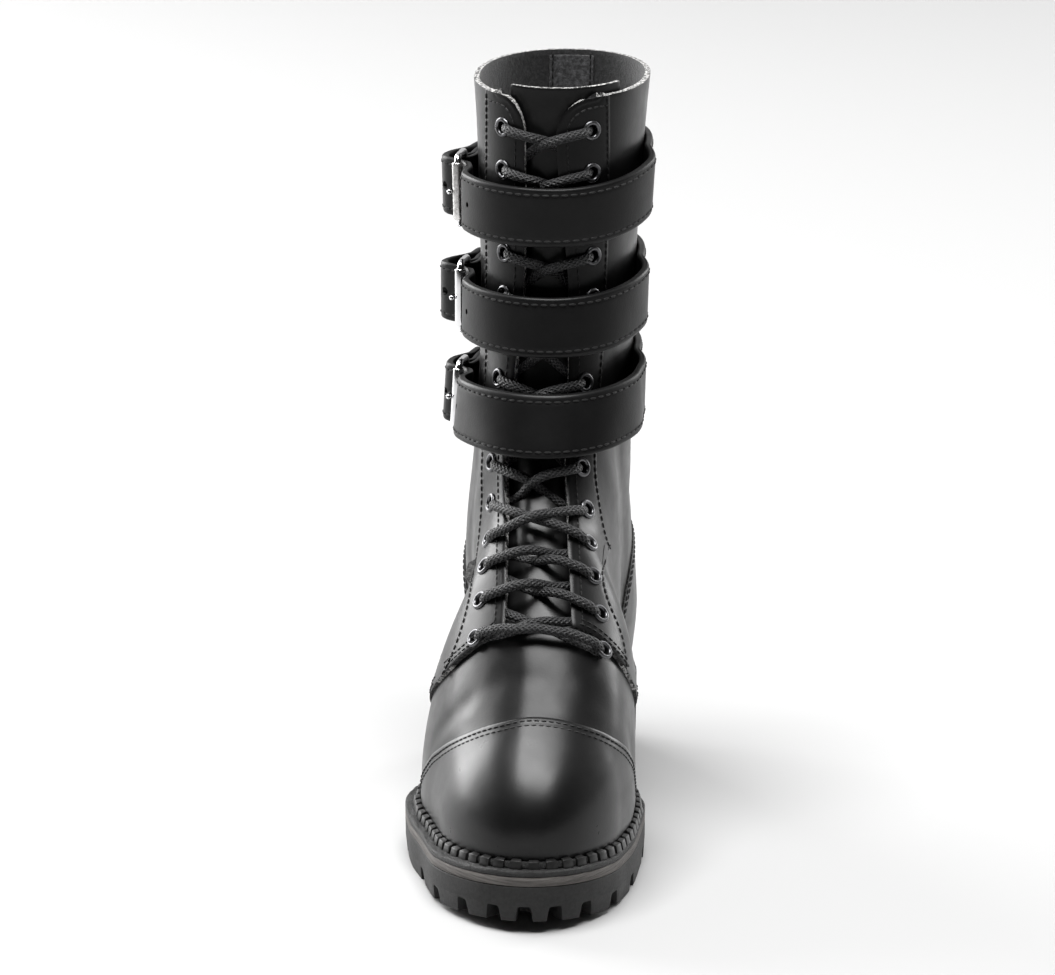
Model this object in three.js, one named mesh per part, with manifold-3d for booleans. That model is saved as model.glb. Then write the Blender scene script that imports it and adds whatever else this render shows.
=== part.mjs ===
// Buckle boot for a right foot: a tall laced leather boot with a toe cap, a lugged sole
// and three buckled straps round its shaft.
// Millimetres, +Z up. The toe points along -Y and +X is the inner (medial) side of the foot.
// In the code s runs along the boot from the back of the heel (0) to the toe.
import * as THREE from 'three';
import { mergeVertices } from 'three/addons/utils/BufferGeometryUtils.js';
import Module from 'manifold-3d';

const wasm = await Module();
wasm.setup();

// Driving dimensions of the sole.
const SOLE_LENGTH = 305;
const BALL_WIDTH = 112;
const HEEL_WIDTH = 81;
const HEEL_THICKNESS = 37;
const FOREFOOT_THICKNESS = 16.5;
const TOE_SPRING = 6;
const BAND_THICKNESS = 9.5;
const HEEL_LENGTH = 78;
const TREAD_START = 150;
const BREAST_LEAN = 8;
const GROOVE_WIDTH = 8.5;
const GROOVE_LENGTH = 21;
const MIDSOLE_THICKNESS = 4.2;
const WELT_THICKNESS = 2.5;
const RIB_HEIGHT = 4.5;
const RIB_WIDTH = 5;
const RIB_PITCH = 7.5;
const RIB_DEPTH = 2.4;
const INSOLE_THICKNESS = 3;

// Driving dimensions of the last: how far the upper stands in from the sole's edge, and its heights.
const LATERAL_LEDGE = 8;
const MEDIAL_LEDGE = 5.4;
const TOE_LEDGE = 11;
const HEEL_LEDGE = 7;
const INSTEP_HEIGHT = 110;
const WAIST_BULGE = 2.5;
const BULGE_HEIGHT = 13;

// Driving dimensions of the shaft.
const BOOT_HEIGHT = 345;
const SHAFT_DEPTH = 115;
const SHAFT_WIDTH = 79;

// Leather thicknesses.
const VAMP_WALL = 1.8;
const QUARTER_INNER_WALL = 0.8;
const QUARTER_STEP = 1.8;
const FACING_STEP = 1;
const CAP_STEP = 1.2;
const COUNTER_STEP = 0.8;
const TONGUE_THICKNESS = 2.6;

// Lacing.
const EYELET_ROWS = 14;
const EYELET_PITCH = 19.6;
const EYELET_TOP_DROP = 15.5;
const EYELET_DIAMETER = 8.6;
const EYELET_HOLE = 5.4;
const EYELET_THICKNESS = 0.6;
const EYELET_SEAT = 0.85;
const LACE_DIAMETER = 4.2;

// Straps and buckles.
const STRAP_WIDTH = 27.5;
const STRAP_THICKNESS = 3.6;
const CHAPE_LEATHER = 2.2;
const CHAPE_WIDTH = 27;
const WIRE_DIAMETER = 3.2;
const ROLLER_DIAMETER = 5.2;
const PRONG_DIAMETER = 2.6;
const PRONG_EYE_WIDTH = 4;

// Running gap between pieces that touch on the real boot.
const CLEARANCE = 0.3;

// Outline of the sole. at: share of the sole's length from the heel; centre and half: shares of
// the width there, which grows from the heel width to the ball width.
const SOLE_PLAN = [
  { at: 0, centre: 0, half: 0.49 },
  { at: 0.16, centre: -0.005, half: 0.495 },
  { at: 0.25, centre: -0.012, half: 0.475 },
  { at: 0.36, centre: -0.018, half: 0.392 },
  { at: 0.45, centre: -0.028, half: 0.374 },
  { at: 0.54, centre: -0.05, half: 0.437 },
  { at: 0.62, centre: -0.04, half: 0.5 },
  { at: 0.705, centre: -0.022, half: 0.478 },
  { at: 0.787, centre: 0.008, half: 0.433 },
  { at: 0.852, centre: 0.018, half: 0.392 },
  { at: 0.918, centre: 0.03, half: 0.352 },
  { at: 1, centre: 0.048, half: 0.31 },
];
const HEEL_ROUND = 0.16;
const TOE_ROUND = 0.852;

// Edge grooves on one side as shares of a turn from the toe, mirrored on the other side, and the
// slots across the middle of the tread as shares of the sole's length.
const FOREFOOT_GROOVES = [0, 0.036, 0.073, 0.112, 0.154, 0.2, 0.243];
const HEEL_GROOVES = [0.36, 0.4, 0.445];
const CROSS_SLOTS = [0.55, 0.63, 0.71, 0.79, 0.87];
const GROOVE_TAPER = 1.2;

// Height of the sole's top. lift: share of the way from forefoot to heel thickness.
const SOLE_RISE = [
  { at: 0, lift: 1 },
  { at: 0.2, lift: 0.98 },
  { at: 0.28, lift: 0.84 },
  { at: 0.36, lift: 0.6 },
  { at: 0.45, lift: 0.27 },
  { at: 0.54, lift: 0.07 },
  { at: 0.63, lift: 0 },
  { at: 1, lift: 0 },
];
const SPRING_START = 0.77;
const SPRING_CURVE = 1.6;

// The foot of the last. at: share of the last's length from its heel; top: height over the floor
// as a share of the instep height; round: exponent of the cross-section; ridge: how far its top
// leans to the medial side, as a share of the ball's width.
const FOOT = [
  { at: 0, top: 0.6, width: 0.8, round: 2, ridge: 0 },
  { at: 0.1, top: 0.7, width: 0.8, round: 2, ridge: 0 },
  { at: 0.2, top: 0.95, width: 0.82, round: 2, ridge: 0 },
  { at: 0.3, top: 1.38, width: 0.9, round: 2, ridge: 0.01 },
  { at: 0.39, top: 1.62, width: 0.96, round: 2, ridge: 0.025 },
  { at: 0.46, top: 1.6, width: 0.96, round: 2.1, ridge: 0.025 },
  { at: 0.55, top: 1.46, width: 0.955, round: 2.25, ridge: 0.03 },
  { at: 0.64, top: 1.28, width: 0.965, round: 2.35, ridge: 0.033 },
  { at: 0.715, top: 1.12, width: 0.985, round: 2.35, ridge: 0.033 },
  { at: 0.79, top: 0.945, width: 1, round: 2.35, ridge: 0.03 },
  { at: 0.86, top: 0.78, width: 1, round: 2.4, ridge: 0.024 },
  { at: 0.92, top: 0.68, width: 1, round: 2.5, ridge: 0.012 },
  { at: 1, top: 0.6, width: 1, round: 2.5, ridge: 0 },
];
const TOE_DROP_START = 0.875;
const TOE_DROP_ROUND = 2.4;

// The shaft. at: share of the boot's height; back and front: shares of the shaft's depth, from the
// back of the heel; half and centre: shares of the shaft's width.
const SHAFT = [
  { at: 0.116, back: 0.083, front: 0.87, half: 0.39, centre: -0.01 },
  { at: 0.145, back: 0.068, front: 0.89, half: 0.415, centre: -0.02 },
  { at: 0.18, back: 0.058, front: 0.913, half: 0.455, centre: -0.034 },
  { at: 0.246, back: 0.074, front: 1.03, half: 0.487, centre: -0.04 },
  { at: 0.319, back: 0.122, front: 1.12, half: 0.482, centre: -0.042 },
  { at: 0.391, back: 0.165, front: 1.17, half: 0.468, centre: -0.036 },
  { at: 0.478, back: 0.187, front: 1.18, half: 0.448, centre: -0.016 },
  { at: 0.58, back: 0.18, front: 1.155, half: 0.436, centre: 0.002 },
  { at: 0.667, back: 0.167, front: 1.139, half: 0.433, centre: 0.013 },
  { at: 0.826, back: 0.14, front: 1.122, half: 0.453, centre: 0.02 },
  { at: 0.942, back: 0.117, front: 1.109, half: 0.48, centre: 0.03 },
  { at: 1, back: 0.104, front: 1.104, half: 0.5, centre: 0.033 },
];
const SHAFT_ROUND = 2.15;
const INSTEP_BLEND = 26;
const SIDE_CALM = 0.75;
const CALM_START = 27;
const CALM_WIDTH = 20;
const LATERAL_SLOPE = 0.5;
const HEEL_BLEND = 6;

// The throat seen from the front. at: share of the boot's height; centre and half in shares of
// the shaft's width; seams and eyelets: the facings' outer seams and their eyelets, lateral first.
const THROAT = [
  { at: 0.2, centre: 0.06, half: 0.19, seams: [-0.62, 0.66], eyelets: [-0.31, 0.43] },
  { at: 0.3, centre: 0.06, half: 0.19, seams: [-0.42, 0.6], eyelets: [-0.3, 0.415] },
  { at: 0.33, centre: 0.055, half: 0.19, seams: [-0.385, 0.54], eyelets: [-0.295, 0.395] },
  { at: 0.365, centre: 0.043, half: 0.18, seams: [-0.36, 0.48], eyelets: [-0.28, 0.35] },
  { at: 0.435, centre: 0, half: 0.173, seams: [-0.348, 0.36], eyelets: [-0.272, 0.265] },
  { at: 0.516, centre: -0.037, half: 0.168, seams: [-0.355, 0.29], eyelets: [-0.285, 0.21] },
  { at: 0.63, centre: -0.015, half: 0.146, seams: [-0.355, 0.305], eyelets: [-0.25, 0.215] },
  { at: 0.74, centre: 0.004, half: 0.122, seams: [-0.355, 0.325], eyelets: [-0.225, 0.25] },
  { at: 0.95, centre: -0.028, half: 0.088, seams: [-0.355, 0.343], eyelets: [-0.24, 0.245] },
  { at: 1.1, centre: -0.03, half: 0.086, seams: [-0.355, 0.343], eyelets: [-0.24, 0.245] },
];
const THROAT_BOTTOM = 0.332;
const CORNER_RADIUS = 13;

// Edge of the quarters seen from the side, from over the throat down to the sole. along: share of
// the sole's length; up: share of the boot's height.
const QUARTER_EDGE = [
  { along: 0.787, up: 0.39 },
  { along: 0.711, up: 0.336 },
  { along: 0.702, up: 0.31 },
  { along: 0.679, up: 0.275 },
  { along: 0.623, up: 0.226 },
  { along: 0.55, up: 0.168 },
  { along: 0.492, up: 0.1 },
  { along: 0.475, up: 0 },
];

// Edge of the toe cap seen from the side, from the ridge of the vamp down to the sole.
const CAP_EDGE = [
  { along: 0.846, up: 0.3 },
  { along: 0.836, up: 0.245 },
  { along: 0.815, up: 0.225 },
  { along: 0.765, up: 0.19 },
  { along: 0.708, up: 0.148 },
  { along: 0.668, up: 0.1 },
  { along: 0.64, up: 0 },
];

// Edge of the heel counter seen from the side, from the backstay down to the sole.
const COUNTER_EDGE = [
  { along: -0.1, up: 0.38 },
  { along: 0.1, up: 0.37 },
  { along: 0.2, up: 0.345 },
  { along: 0.27, up: 0.31 },
  { along: 0.31, up: 0.25 },
  { along: 0.335, up: 0.16 },
  { along: 0.34, up: 0 },
];
const BACKSTAY_WIDTH = 26;

// Straps from the top one down. front: height of the middle at the shin as a share of the boot's
// height; medial and lateral: how far it has risen at each side, in strap widths; ease: how far
// it stands off the laces, in lace diameters.
const STRAPS = [
  { name: 'top', front: 0.844, medial: 0.34, lateral: 0.02, ease: 0.08 },
  { name: 'middle', front: 0.696, medial: 0.28, lateral: 0.02, ease: 0.2 },
  { name: 'bottom', front: 0.57, medial: 0.22, lateral: -0.16, ease: 0.75 },
];

// Way of a strap round the shaft: turn in degrees from the shin, medial side positive, and what
// its inner face lies on there.
const STRAP_WAY = [
  { turn: 150, on: 'shaft' },
  { turn: 105, on: 'shaft' },
  { turn: 80, on: 'air' },
  { turn: 50, on: 'lace' },
  { turn: 20, on: 'lace' },
  { turn: -20, on: 'lace' },
  { turn: -43, on: 'lace' },
  { turn: -58, on: 'roller' },
  { turn: -66, on: 'roller' },
  { turn: -84, on: 'fold' },
  { turn: -100, on: 'fold' },
  { turn: -118, on: 'tail' },
  { turn: -140, on: 'tail' },
];
const STRAP_AIR = 1;
const EASE_END = 56;
const EASE_FADE = 24;
const UNDER_ROLLER = 3;
const ROLLER_TURN = -62;
const BAR_TURN = -88;
const CHAPE_END_TURN = -150;

// Mesh density.
const AROUND = 38;
const SOLE_AROUND = 48;
const FLATNESS = 0.1;
const STRAP_STEPS = 25;

const yAt = (s) => SOLE_LENGTH / 2 - s;
const mix = (a, b, t) => a + (b - a) * t;
const clamp = (t, low = 0, high = 1) => Math.min(Math.max(t, low), high);
const smooth = (t) => clamp(t) * clamp(t) * (3 - 2 * clamp(t));

// Smooth curve through one column of a table, with no overshoot between its rows.
function column(rows, key, by = 'at') {
  const at = rows.map((row) => row[by]);
  const value = rows.map((row) => row[key]);
  const last = rows.length - 1;
  const slope = [];
  for (let i = 0; i < last; i += 1) slope.push((value[i + 1] - value[i]) / (at[i + 1] - at[i]));
  const tangent = value.map((_, i) => {
    if (i === 0) return slope[0];
    if (i === last) return slope[last - 1];
    const left = slope[i - 1];
    const right = slope[i];
    return left * right <= 0 ? 0 : (2 * left * right) / (left + right);
  });
  return (t) => {
    const x = clamp(t, at[0], at[last]);
    let i = 0;
    while (i < last - 1 && x > at[i + 1]) i += 1;
    const span = at[i + 1] - at[i];
    const u = (x - at[i]) / span;
    const a = value[i] + u * u * (3 - 2 * u) * (value[i + 1] - value[i]);
    return a + span * u * (1 - u) * ((1 - u) * tangent[i] - u * tangent[i + 1]);
  };
}

const planCentre = column(SOLE_PLAN, 'centre');
const planHalf = column(SOLE_PLAN, 'half');
const soleLift = column(SOLE_RISE, 'lift');
const footTop = column(FOOT, 'top');
const footWidth = column(FOOT, 'width');
const footRound = column(FOOT, 'round');
const footRidge = column(FOOT, 'ridge');
const shaftBack = column(SHAFT, 'back');
const shaftFront = column(SHAFT, 'front');
const shaftHalf = column(SHAFT, 'half');
const shaftCentre = column(SHAFT, 'centre');
const throatCentre = column(THROAT, 'centre');
const throatHalf = column(THROAT, 'half');
const sideColumn = (key, i) => column(THROAT.map((row) => ({ at: row.at, value: row[key][i] })), 'value');
const facingSeams = [0, 1].map((i) => sideColumn('seams', i));
const eyeletLines = [0, 1].map((i) => sideColumn('eyelets', i));

// Centre line and half width of the sole at a share of its length, with round ends.
function solePlan(share) {
  const width = mix(HEEL_WIDTH, BALL_WIDTH, smooth((share - 0.25) / 0.25));
  let end = 1;
  if (share < HEEL_ROUND) end = Math.sqrt(Math.max(1 - ((HEEL_ROUND - share) / HEEL_ROUND) ** 2, 0));
  if (share > TOE_ROUND) {
    end = Math.sqrt(Math.max(1 - ((share - TOE_ROUND) / (1 - TOE_ROUND)) ** 2, 0));
  }
  return { centre: width * planCentre(share), half: width * planHalf(share) * end, end };
}

// Height of the rubber's top over the floor, and of the tread below it.
const springShare = (s) => Math.max((s / SOLE_LENGTH - SPRING_START) / (1 - SPRING_START), 0);
const springAt = (s) => TOE_SPRING * springShare(s) ** SPRING_CURVE;
const riseAt = (s) => mix(FOREFOOT_THICKNESS, HEEL_THICKNESS, soleLift(s / SOLE_LENGTH)) + springAt(s);
const midsoleTop = (s) => riseAt(s) + CLEARANCE + MIDSOLE_THICKNESS;
const featherAt = (s) => midsoleTop(s) + CLEARANCE;

// The last's outline is the sole's, drawn in by the ledges.
const LAST_LENGTH = SOLE_LENGTH - TOE_LEDGE - HEEL_LEDGE;
const lastShare = (s) => (s - HEEL_LEDGE) / LAST_LENGTH;

function lastPlan(share) {
  const { centre, half, end } = solePlan(share);
  return { lateral: centre - half + LATERAL_LEDGE * end, medial: centre + half - MEDIAL_LEDGE * end };
}

// Signed size of a point against the foot of the last: negative inside, about millimetres.
function footField(x, s, z) {
  const feather = featherAt(s);
  const widest = feather + BULGE_HEIGHT;
  const below = clamp((widest - z) / BULGE_HEIGHT);
  const bulge = WAIST_BULGE * (1 - below * below);
  const middle = HEEL_LEDGE + LAST_LENGTH / 2;
  const share = lastShare(middle + (s - middle) / (1 + bulge / (LAST_LENGTH / 2)));
  if (share <= 0 || share >= 1) return 50 + 500 * Math.abs(share - 0.5);
  const plan = lastPlan(share);
  const half = Math.max((plan.medial - plan.lateral) / 2 + bulge, 0.5) * footWidth(share);
  const off = x - (plan.lateral + plan.medial) / 2;
  if (z <= widest) return Math.abs(off) - half;
  const drop = clamp((share - TOE_DROP_START) / (1 - TOE_DROP_START));
  const full = INSTEP_HEIGHT * footTop(share) - widest;
  const tall = Math.max(full * (1 - drop ** TOE_DROP_ROUND) ** (1 / TOE_DROP_ROUND), 0.5);
  const power = footRound(share) - (off < 0 ? LATERAL_SLOPE * smooth((share - 0.35) / 0.2) : 0);
  const up = (z - widest) / tall;
  const across = Math.abs(off - BALL_WIDTH * footRidge(share) * smooth(up * 1.1)) / half;
  return ((across ** power + up ** power) ** (1 / power) - 1) * half;
}

// The shaft's oval at a height.
function shaftOval(z) {
  const share = z / BOOT_HEIGHT;
  const back = SHAFT_DEPTH * shaftBack(share);
  const front = SHAFT_DEPTH * shaftFront(share);
  return {
    middle: (back + front) / 2,
    depth: (front - back) / 2,
    half: SHAFT_WIDTH * shaftHalf(share),
    centre: SHAFT_WIDTH * shaftCentre(share),
  };
}

function shaftField(x, s, z) {
  const oval = shaftOval(z);
  const across = Math.abs(x - oval.centre) / oval.half;
  const along = Math.abs(s - oval.middle) / oval.depth;
  return ((across ** SHAFT_ROUND + along ** SHAFT_ROUND) ** (1 / SHAFT_ROUND) - 1) * oval.half;
}

// The last: foot and shaft with a soft hollow where they meet at the instep.
function form(x, s, z) {
  const foot = footField(x, s, z);
  const shaft = shaftField(x, s, z);
  const forward = smooth((s / SOLE_LENGTH - 0.26) / 0.16);
  const calm = SIDE_CALM * smooth((Math.abs(x) - CALM_START) / CALM_WIDTH);
  const blend = mix(HEEL_BLEND, INSTEP_BLEND, forward * (1 - calm));
  const near = Math.max(blend - Math.abs(foot - shaft), 0) / blend;
  return Math.min(foot, shaft) - (near * near * blend) / 4;
}

// First point of the last's surface on a ray from inside, in x, s, z.
function castOut(from, way) {
  const at = (t) => form(from.x + way.x * t, from.y + way.y * t, from.z + way.z * t);
  let far = 4;
  while (at(far) < 0 && far < 400) far += 4;
  let near = Math.max(far - 4, 0);
  for (let i = 0; i < 28; i += 1) {
    const mid = (near + far) / 2;
    if (at(mid) < 0) near = mid;
    else far = mid;
  }
  return new THREE.Vector3().copy(way).multiplyScalar(near).add(from);
}

// First point of the surface met from the front at a place x, z.
function castFront(x, z) {
  let s = SOLE_LENGTH * 1.1;
  while (form(x, s, z) > 0 && s > SHAFT_DEPTH * 0.3) s -= 2;
  let inside = s;
  let outside = s + 2;
  for (let i = 0; i < 24; i += 1) {
    const mid = (inside + outside) / 2;
    if (form(x, mid, z) < 0) inside = mid;
    else outside = mid;
  }
  return new THREE.Vector3(x, inside, z);
}

function normalAt(p) {
  const d = 0.4;
  return new THREE.Vector3(
    form(p.x + d, p.y, p.z) - form(p.x - d, p.y, p.z),
    form(p.x, p.y + d, p.z) - form(p.x, p.y - d, p.z),
    form(p.x, p.y, p.z + d) - form(p.x, p.y, p.z - d),
  ).normalize();
}

const offset = (p, distance) => p.clone().addScaledVector(normalAt(p), distance);
const world = (p) => new THREE.Vector3(p.x, yAt(p.y), p.z);

// Inner wall: the full vamp leather in front, thinner where the quarter is the wall.
const quarterEnd = column([...QUARTER_EDGE].reverse(), 'along', 'up');
const innerWall = ({ y: s, z }) => {
  const behind = quarterEnd(z / BOOT_HEIGHT) - s / SOLE_LENGTH;
  return mix(VAMP_WALL, QUARTER_INNER_WALL, smooth((behind - 0.02) / 0.06));
};

// Closed body from a grid of points: rows of equal length that close round, capped at both ends
// by strips between mirrored points.
function bodyFromRings(rings) {
  const count = rings[0].length;
  const positions = rings.flat().flatMap((p) => [p.x, p.y, p.z]);
  const faces = [];
  for (let r = 0; r + 1 < rings.length; r += 1) {
    for (let i = 0; i < count; i += 1) {
      const j = (i + 1) % count;
      const a = r * count + i;
      const b = r * count + j;
      faces.push(a, b + count, b, a, a + count, b + count);
    }
  }
  const cap = (start, flip) => {
    for (let i = 0; i < count / 2; i += 1) {
      const quad = [i, i + 1, (count - i - 1) % count, (count - i) % count].map((k) => start + k);
      const loops = i === 0 ? [[0, 1, 2]] : [[0, 1, 2], [0, 2, 3]];
      const used = i === count / 2 - 1 ? [[0, 1, 3]] : loops;
      used.forEach((t) => {
        const tri = t.map((k) => quad[k]);
        faces.push(...(flip ? tri : tri.reverse()));
      });
    }
  };
  cap(0, true);
  cap((rings.length - 1) * count, false);
  return solidFrom(positions, faces);
}

function geometryFrom(positions, faces) {
  const geometry = new THREE.BufferGeometry();
  geometry.setAttribute('position', new THREE.Float32BufferAttribute(positions, 3));
  geometry.setIndex(faces);
  return geometry;
}

// Manifold solid of a closed geometry.
function solidOf(geometry) {
  const bare = geometry.clone();
  bare.deleteAttribute('normal');
  bare.deleteAttribute('uv');
  const merged = mergeVertices(bare, 1e-4);
  return new wasm.Manifold(new wasm.Mesh({
    numProp: 3,
    vertProperties: new Float32Array(merged.attributes.position.array),
    triVerts: new Uint32Array(merged.index.array),
  }));
}

function solidFrom(positions, faces) {
  return solidOf(geometryFrom(positions, faces));
}

function geometryOf(solid) {
  const mesh = solid.simplify(FLATNESS).getMesh();
  const geometry = geometryFrom(Array.from(mesh.vertProperties), Array.from(mesh.triVerts));
  geometry.computeVertexNormals();
  return geometry;
}

const joined = (solids) => solids.reduce((whole, piece) => whole.add(piece));

// Loop round the sole or last. out: how far out from the last's outline (0) to the sole's (1).
function outlinePoint(turn, out) {
  const share = 0.5 + 0.5 * Math.cos(2 * Math.PI * turn);
  const isLateral = turn - Math.floor(turn) <= 0.5;
  const sole = solePlan(share);
  const last = lastPlan(share);
  const [inner, outer] = isLateral
    ? [last.lateral, sole.centre - sole.half]
    : [last.medial, sole.centre + sole.half];
  const x = mix(inner, outer, out);
  const s = mix(HEEL_LEDGE + share * LAST_LENGTH, share * SOLE_LENGTH, out);
  return new THREE.Vector2(x, s);
}

// Layer of the sole between two height functions, with its edge set in at the bottom and top.
function soleLayer(low, high, outLow, outHigh, around = SOLE_AROUND) {
  const ring = (height, out) => {
    const points = [];
    for (let i = 0; i < around; i += 1) {
      const p = outlinePoint(i / around, out);
      points.push(new THREE.Vector3(p.x, yAt(p.y), height(p.y)));
    }
    return points;
  };
  return bodyFromRings([ring(low, outLow), ring(high, outHigh)]);
}

// Straight bar with an outline drawn on a plane and a length across it.
function bar(outline, length, place) {
  const shape = new THREE.Shape(outline);
  const geometry = new THREE.ExtrudeGeometry(shape, { depth: length, bevelEnabled: false });
  return solidOf(geometry.applyMatrix4(place));
}

// Bar seen from the side: outline in along (s) and up, across the whole boot.
function sideBar(points) {
  const place = new THREE.Matrix4().makeBasis(
    new THREE.Vector3(0, -1, 0),
    new THREE.Vector3(0, 0, 1),
    new THREE.Vector3(-1, 0, 0),
  ).setPosition(BALL_WIDTH, SOLE_LENGTH / 2, 0);
  return bar(points.map(([s, z]) => new THREE.Vector2(s, z)), 2 * BALL_WIDTH, place);
}

// Bar seen from the front: outline in x and up, from a place s forward over a length.
function frontBar(points, from, length) {
  const place = new THREE.Matrix4().makeBasis(
    new THREE.Vector3(1, 0, 0),
    new THREE.Vector3(0, 0, 1),
    new THREE.Vector3(0, -1, 0),
  ).setPosition(0, yAt(from), 0);
  return bar(points.map(([x, z]) => new THREE.Vector2(x, z)), length, place);
}

// Tread groove, wider at the floor: a wedge that runs in from the sole's edge towards a place.
function wedge(turn, towards, depth, length) {
  const edge = outlinePoint(turn, 1);
  const start = new THREE.Vector3(edge.x, yAt(edge.y), 0);
  const inward = towards.clone().sub(start).setZ(0).normalize();
  const up = new THREE.Vector3(0, 0, 1);
  const across = new THREE.Vector3().crossVectors(up, inward);
  const half = GROOVE_WIDTH / 2;
  const outline = [
    [-half - GROOVE_TAPER, -TOE_SPRING], [half + GROOVE_TAPER, -TOE_SPRING],
    [half - GROOVE_TAPER, depth], [GROOVE_TAPER - half, depth],
  ];
  const place = new THREE.Matrix4().makeBasis(across, up, inward);
  place.setPosition(start.addScaledVector(inward, -TOE_SPRING));
  return bar(outline.map(([x, y]) => new THREE.Vector2(x, y)), length + TOE_SPRING, place);
}

function groove(turn) {
  const here = outlinePoint(turn, 1);
  const next = outlinePoint(turn + 0.004, 1);
  const along = new THREE.Vector3(next.x - here.x, yAt(next.y) - yAt(here.y), 0);
  const start = new THREE.Vector3(here.x, yAt(here.y), 0);
  const inward = new THREE.Vector3(along.y, -along.x, 0).normalize().multiplyScalar(GROOVE_LENGTH);
  return wedge(turn, start.add(inward), riseAt(here.y) - BAND_THICKNESS, GROOVE_LENGTH);
}

// Rubber sole: a band all round, a heel block and a treaded forefoot.
function outsole() {
  const bandBottom = (s) => riseAt(s) - BAND_THICKNESS;
  const overlap = 1;
  const band = soleLayer(bandBottom, riseAt, 0.9, 1);
  const tread = soleLayer(springAt, (s) => bandBottom(s) + overlap, 0.88, 0.98);
  const under = -BAND_THICKNESS;
  const over = HEEL_THICKNESS + BAND_THICKNESS;
  const heelFront = [
    [under, under], [HEEL_LENGTH - BREAST_LEAN / 2, under],
    [HEEL_LENGTH + BREAST_LEAN / 2, over], [under, over],
  ];
  const beyond = SOLE_LENGTH - under;
  const foreBack = [
    [TREAD_START + BREAST_LEAN / 2, under], [beyond, under],
    [beyond, over], [TREAD_START - BREAST_LEAN / 2, over],
  ];
  const foot = tread.intersect(sideBar(heelFront).add(sideBar(foreBack)));
  const cuts = [];
  FOREFOOT_GROOVES.forEach((turn) => {
    cuts.push(groove(turn));
    if (turn > 0) cuts.push(groove(1 - turn));
  });
  HEEL_GROOVES.forEach((turn) => {
    cuts.push(heelGroove(turn), heelGroove(1 - turn));
  });
  cuts.push(heelGroove(0.5));
  crossSlots().forEach((slot) => cuts.push(slot));
  return joined([band, cuts.reduce((body, cut) => body.subtract(cut), foot)]);
}

// Heel groove: as deep as the forefoot's, not up to the band.
function heelGroove(turn) {
  const centre = new THREE.Vector3(0, yAt(HEEL_LENGTH / 2), 0);
  return wedge(turn, centre, FOREFOOT_THICKNESS - BAND_THICKNESS, GROOVE_LENGTH * 0.7);
}

// Slots across the middle of the tread, between the two rows of edge lugs.
function crossSlots() {
  const depth = FOREFOOT_THICKNESS - BAND_THICKNESS;
  const slots = [];
  CROSS_SLOTS.forEach((share) => {
    const s = share * SOLE_LENGTH;
    const plan = solePlan(share);
    const half = Math.max(plan.half - GROOVE_LENGTH * 1.25, 6);
    const box = new THREE.BoxGeometry(2 * half, GROOVE_WIDTH * 0.8, depth * 2 + 2 * springAt(s));
    box.translate(plan.centre, yAt(s), 0);
    slots.push(solidOf(box));
  });
  return slots;
}

// Leather midsole that shows as a grey band.
function midsole() {
  return soleLayer((s) => riseAt(s) + CLEARANCE, midsoleTop, 1, 1);
}

// Upper. Each layer is the last's own form, stood off by its leather and cut along its edge.

const ANKLE = 0.55;
const LOW_ROWS = 13;
const HIGH_ROWS = 5;
const ANKLE_FRONT = 0.507;
const ANKLE_BACK = 0.377;
const TRIM = 6;

// Loop round the shaft at a height that may fall towards the heel.
function shaftGuide(turn, frontHeight, backHeight) {
  const angle = 2 * Math.PI * turn;
  const z = BOOT_HEIGHT * mix(backHeight, frontHeight, (1 + Math.cos(angle)) / 2);
  const oval = shaftOval(z);
  const x = oval.centre - oval.half * Math.sin(angle);
  return new THREE.Vector3(x, oval.middle + oval.depth * Math.cos(angle), z);
}

// Point of the last at a turn round it and a share of the way from the sole to the collar.
function lastPoint(turn, way) {
  const foot = outlinePoint(turn, 0);
  const feather = new THREE.Vector3(foot.x, foot.y, featherAt(foot.y));
  const ankle = shaftGuide(turn, ANKLE_FRONT, ANKLE_BACK);
  const top = (BOOT_HEIGHT + TRIM) / BOOT_HEIGHT;
  const collar = shaftGuide(turn, top, top);
  const sole = new THREE.Vector3(0, SOLE_LENGTH * 0.5, FOREFOOT_THICKNESS * 2);
  const ankleCentre = new THREE.Vector3(0, SHAFT_DEPTH * 0.7, BOOT_HEIGHT * 0.44);
  const collarOval = shaftOval(BOOT_HEIGHT);
  const collarCentre = new THREE.Vector3(collarOval.centre, collarOval.middle, BOOT_HEIGHT + TRIM);
  const low = way < ANKLE;
  const t = low ? way / ANKLE : (way - ANKLE) / (1 - ANKLE);
  const from = (low ? sole : ankleCentre).clone().lerp(low ? ankleCentre : collarCentre, t);
  const guide = (low ? feather : ankle).clone().lerp(low ? ankle : collar, t);
  return castOut(from, guide.sub(from).normalize());
}

// Points and normals of the last, worked out once for all layers.
const lastWays = [];
for (let i = 0; i <= LOW_ROWS; i += 1) lastWays.push(ANKLE * (i / LOW_ROWS) ** 1.2);
for (let i = 1; i <= HIGH_ROWS; i += 1) lastWays.push(ANKLE + (1 - ANKLE) * (i / HIGH_ROWS) ** 1.3);
const lastRings = lastWays.map((way) => {
  const ring = [];
  for (let i = 0; i < AROUND; i += 1) {
    const point = lastPoint(i / AROUND, way);
    ring.push({ point, normal: normalAt(point) });
  }
  return ring;
});

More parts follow.
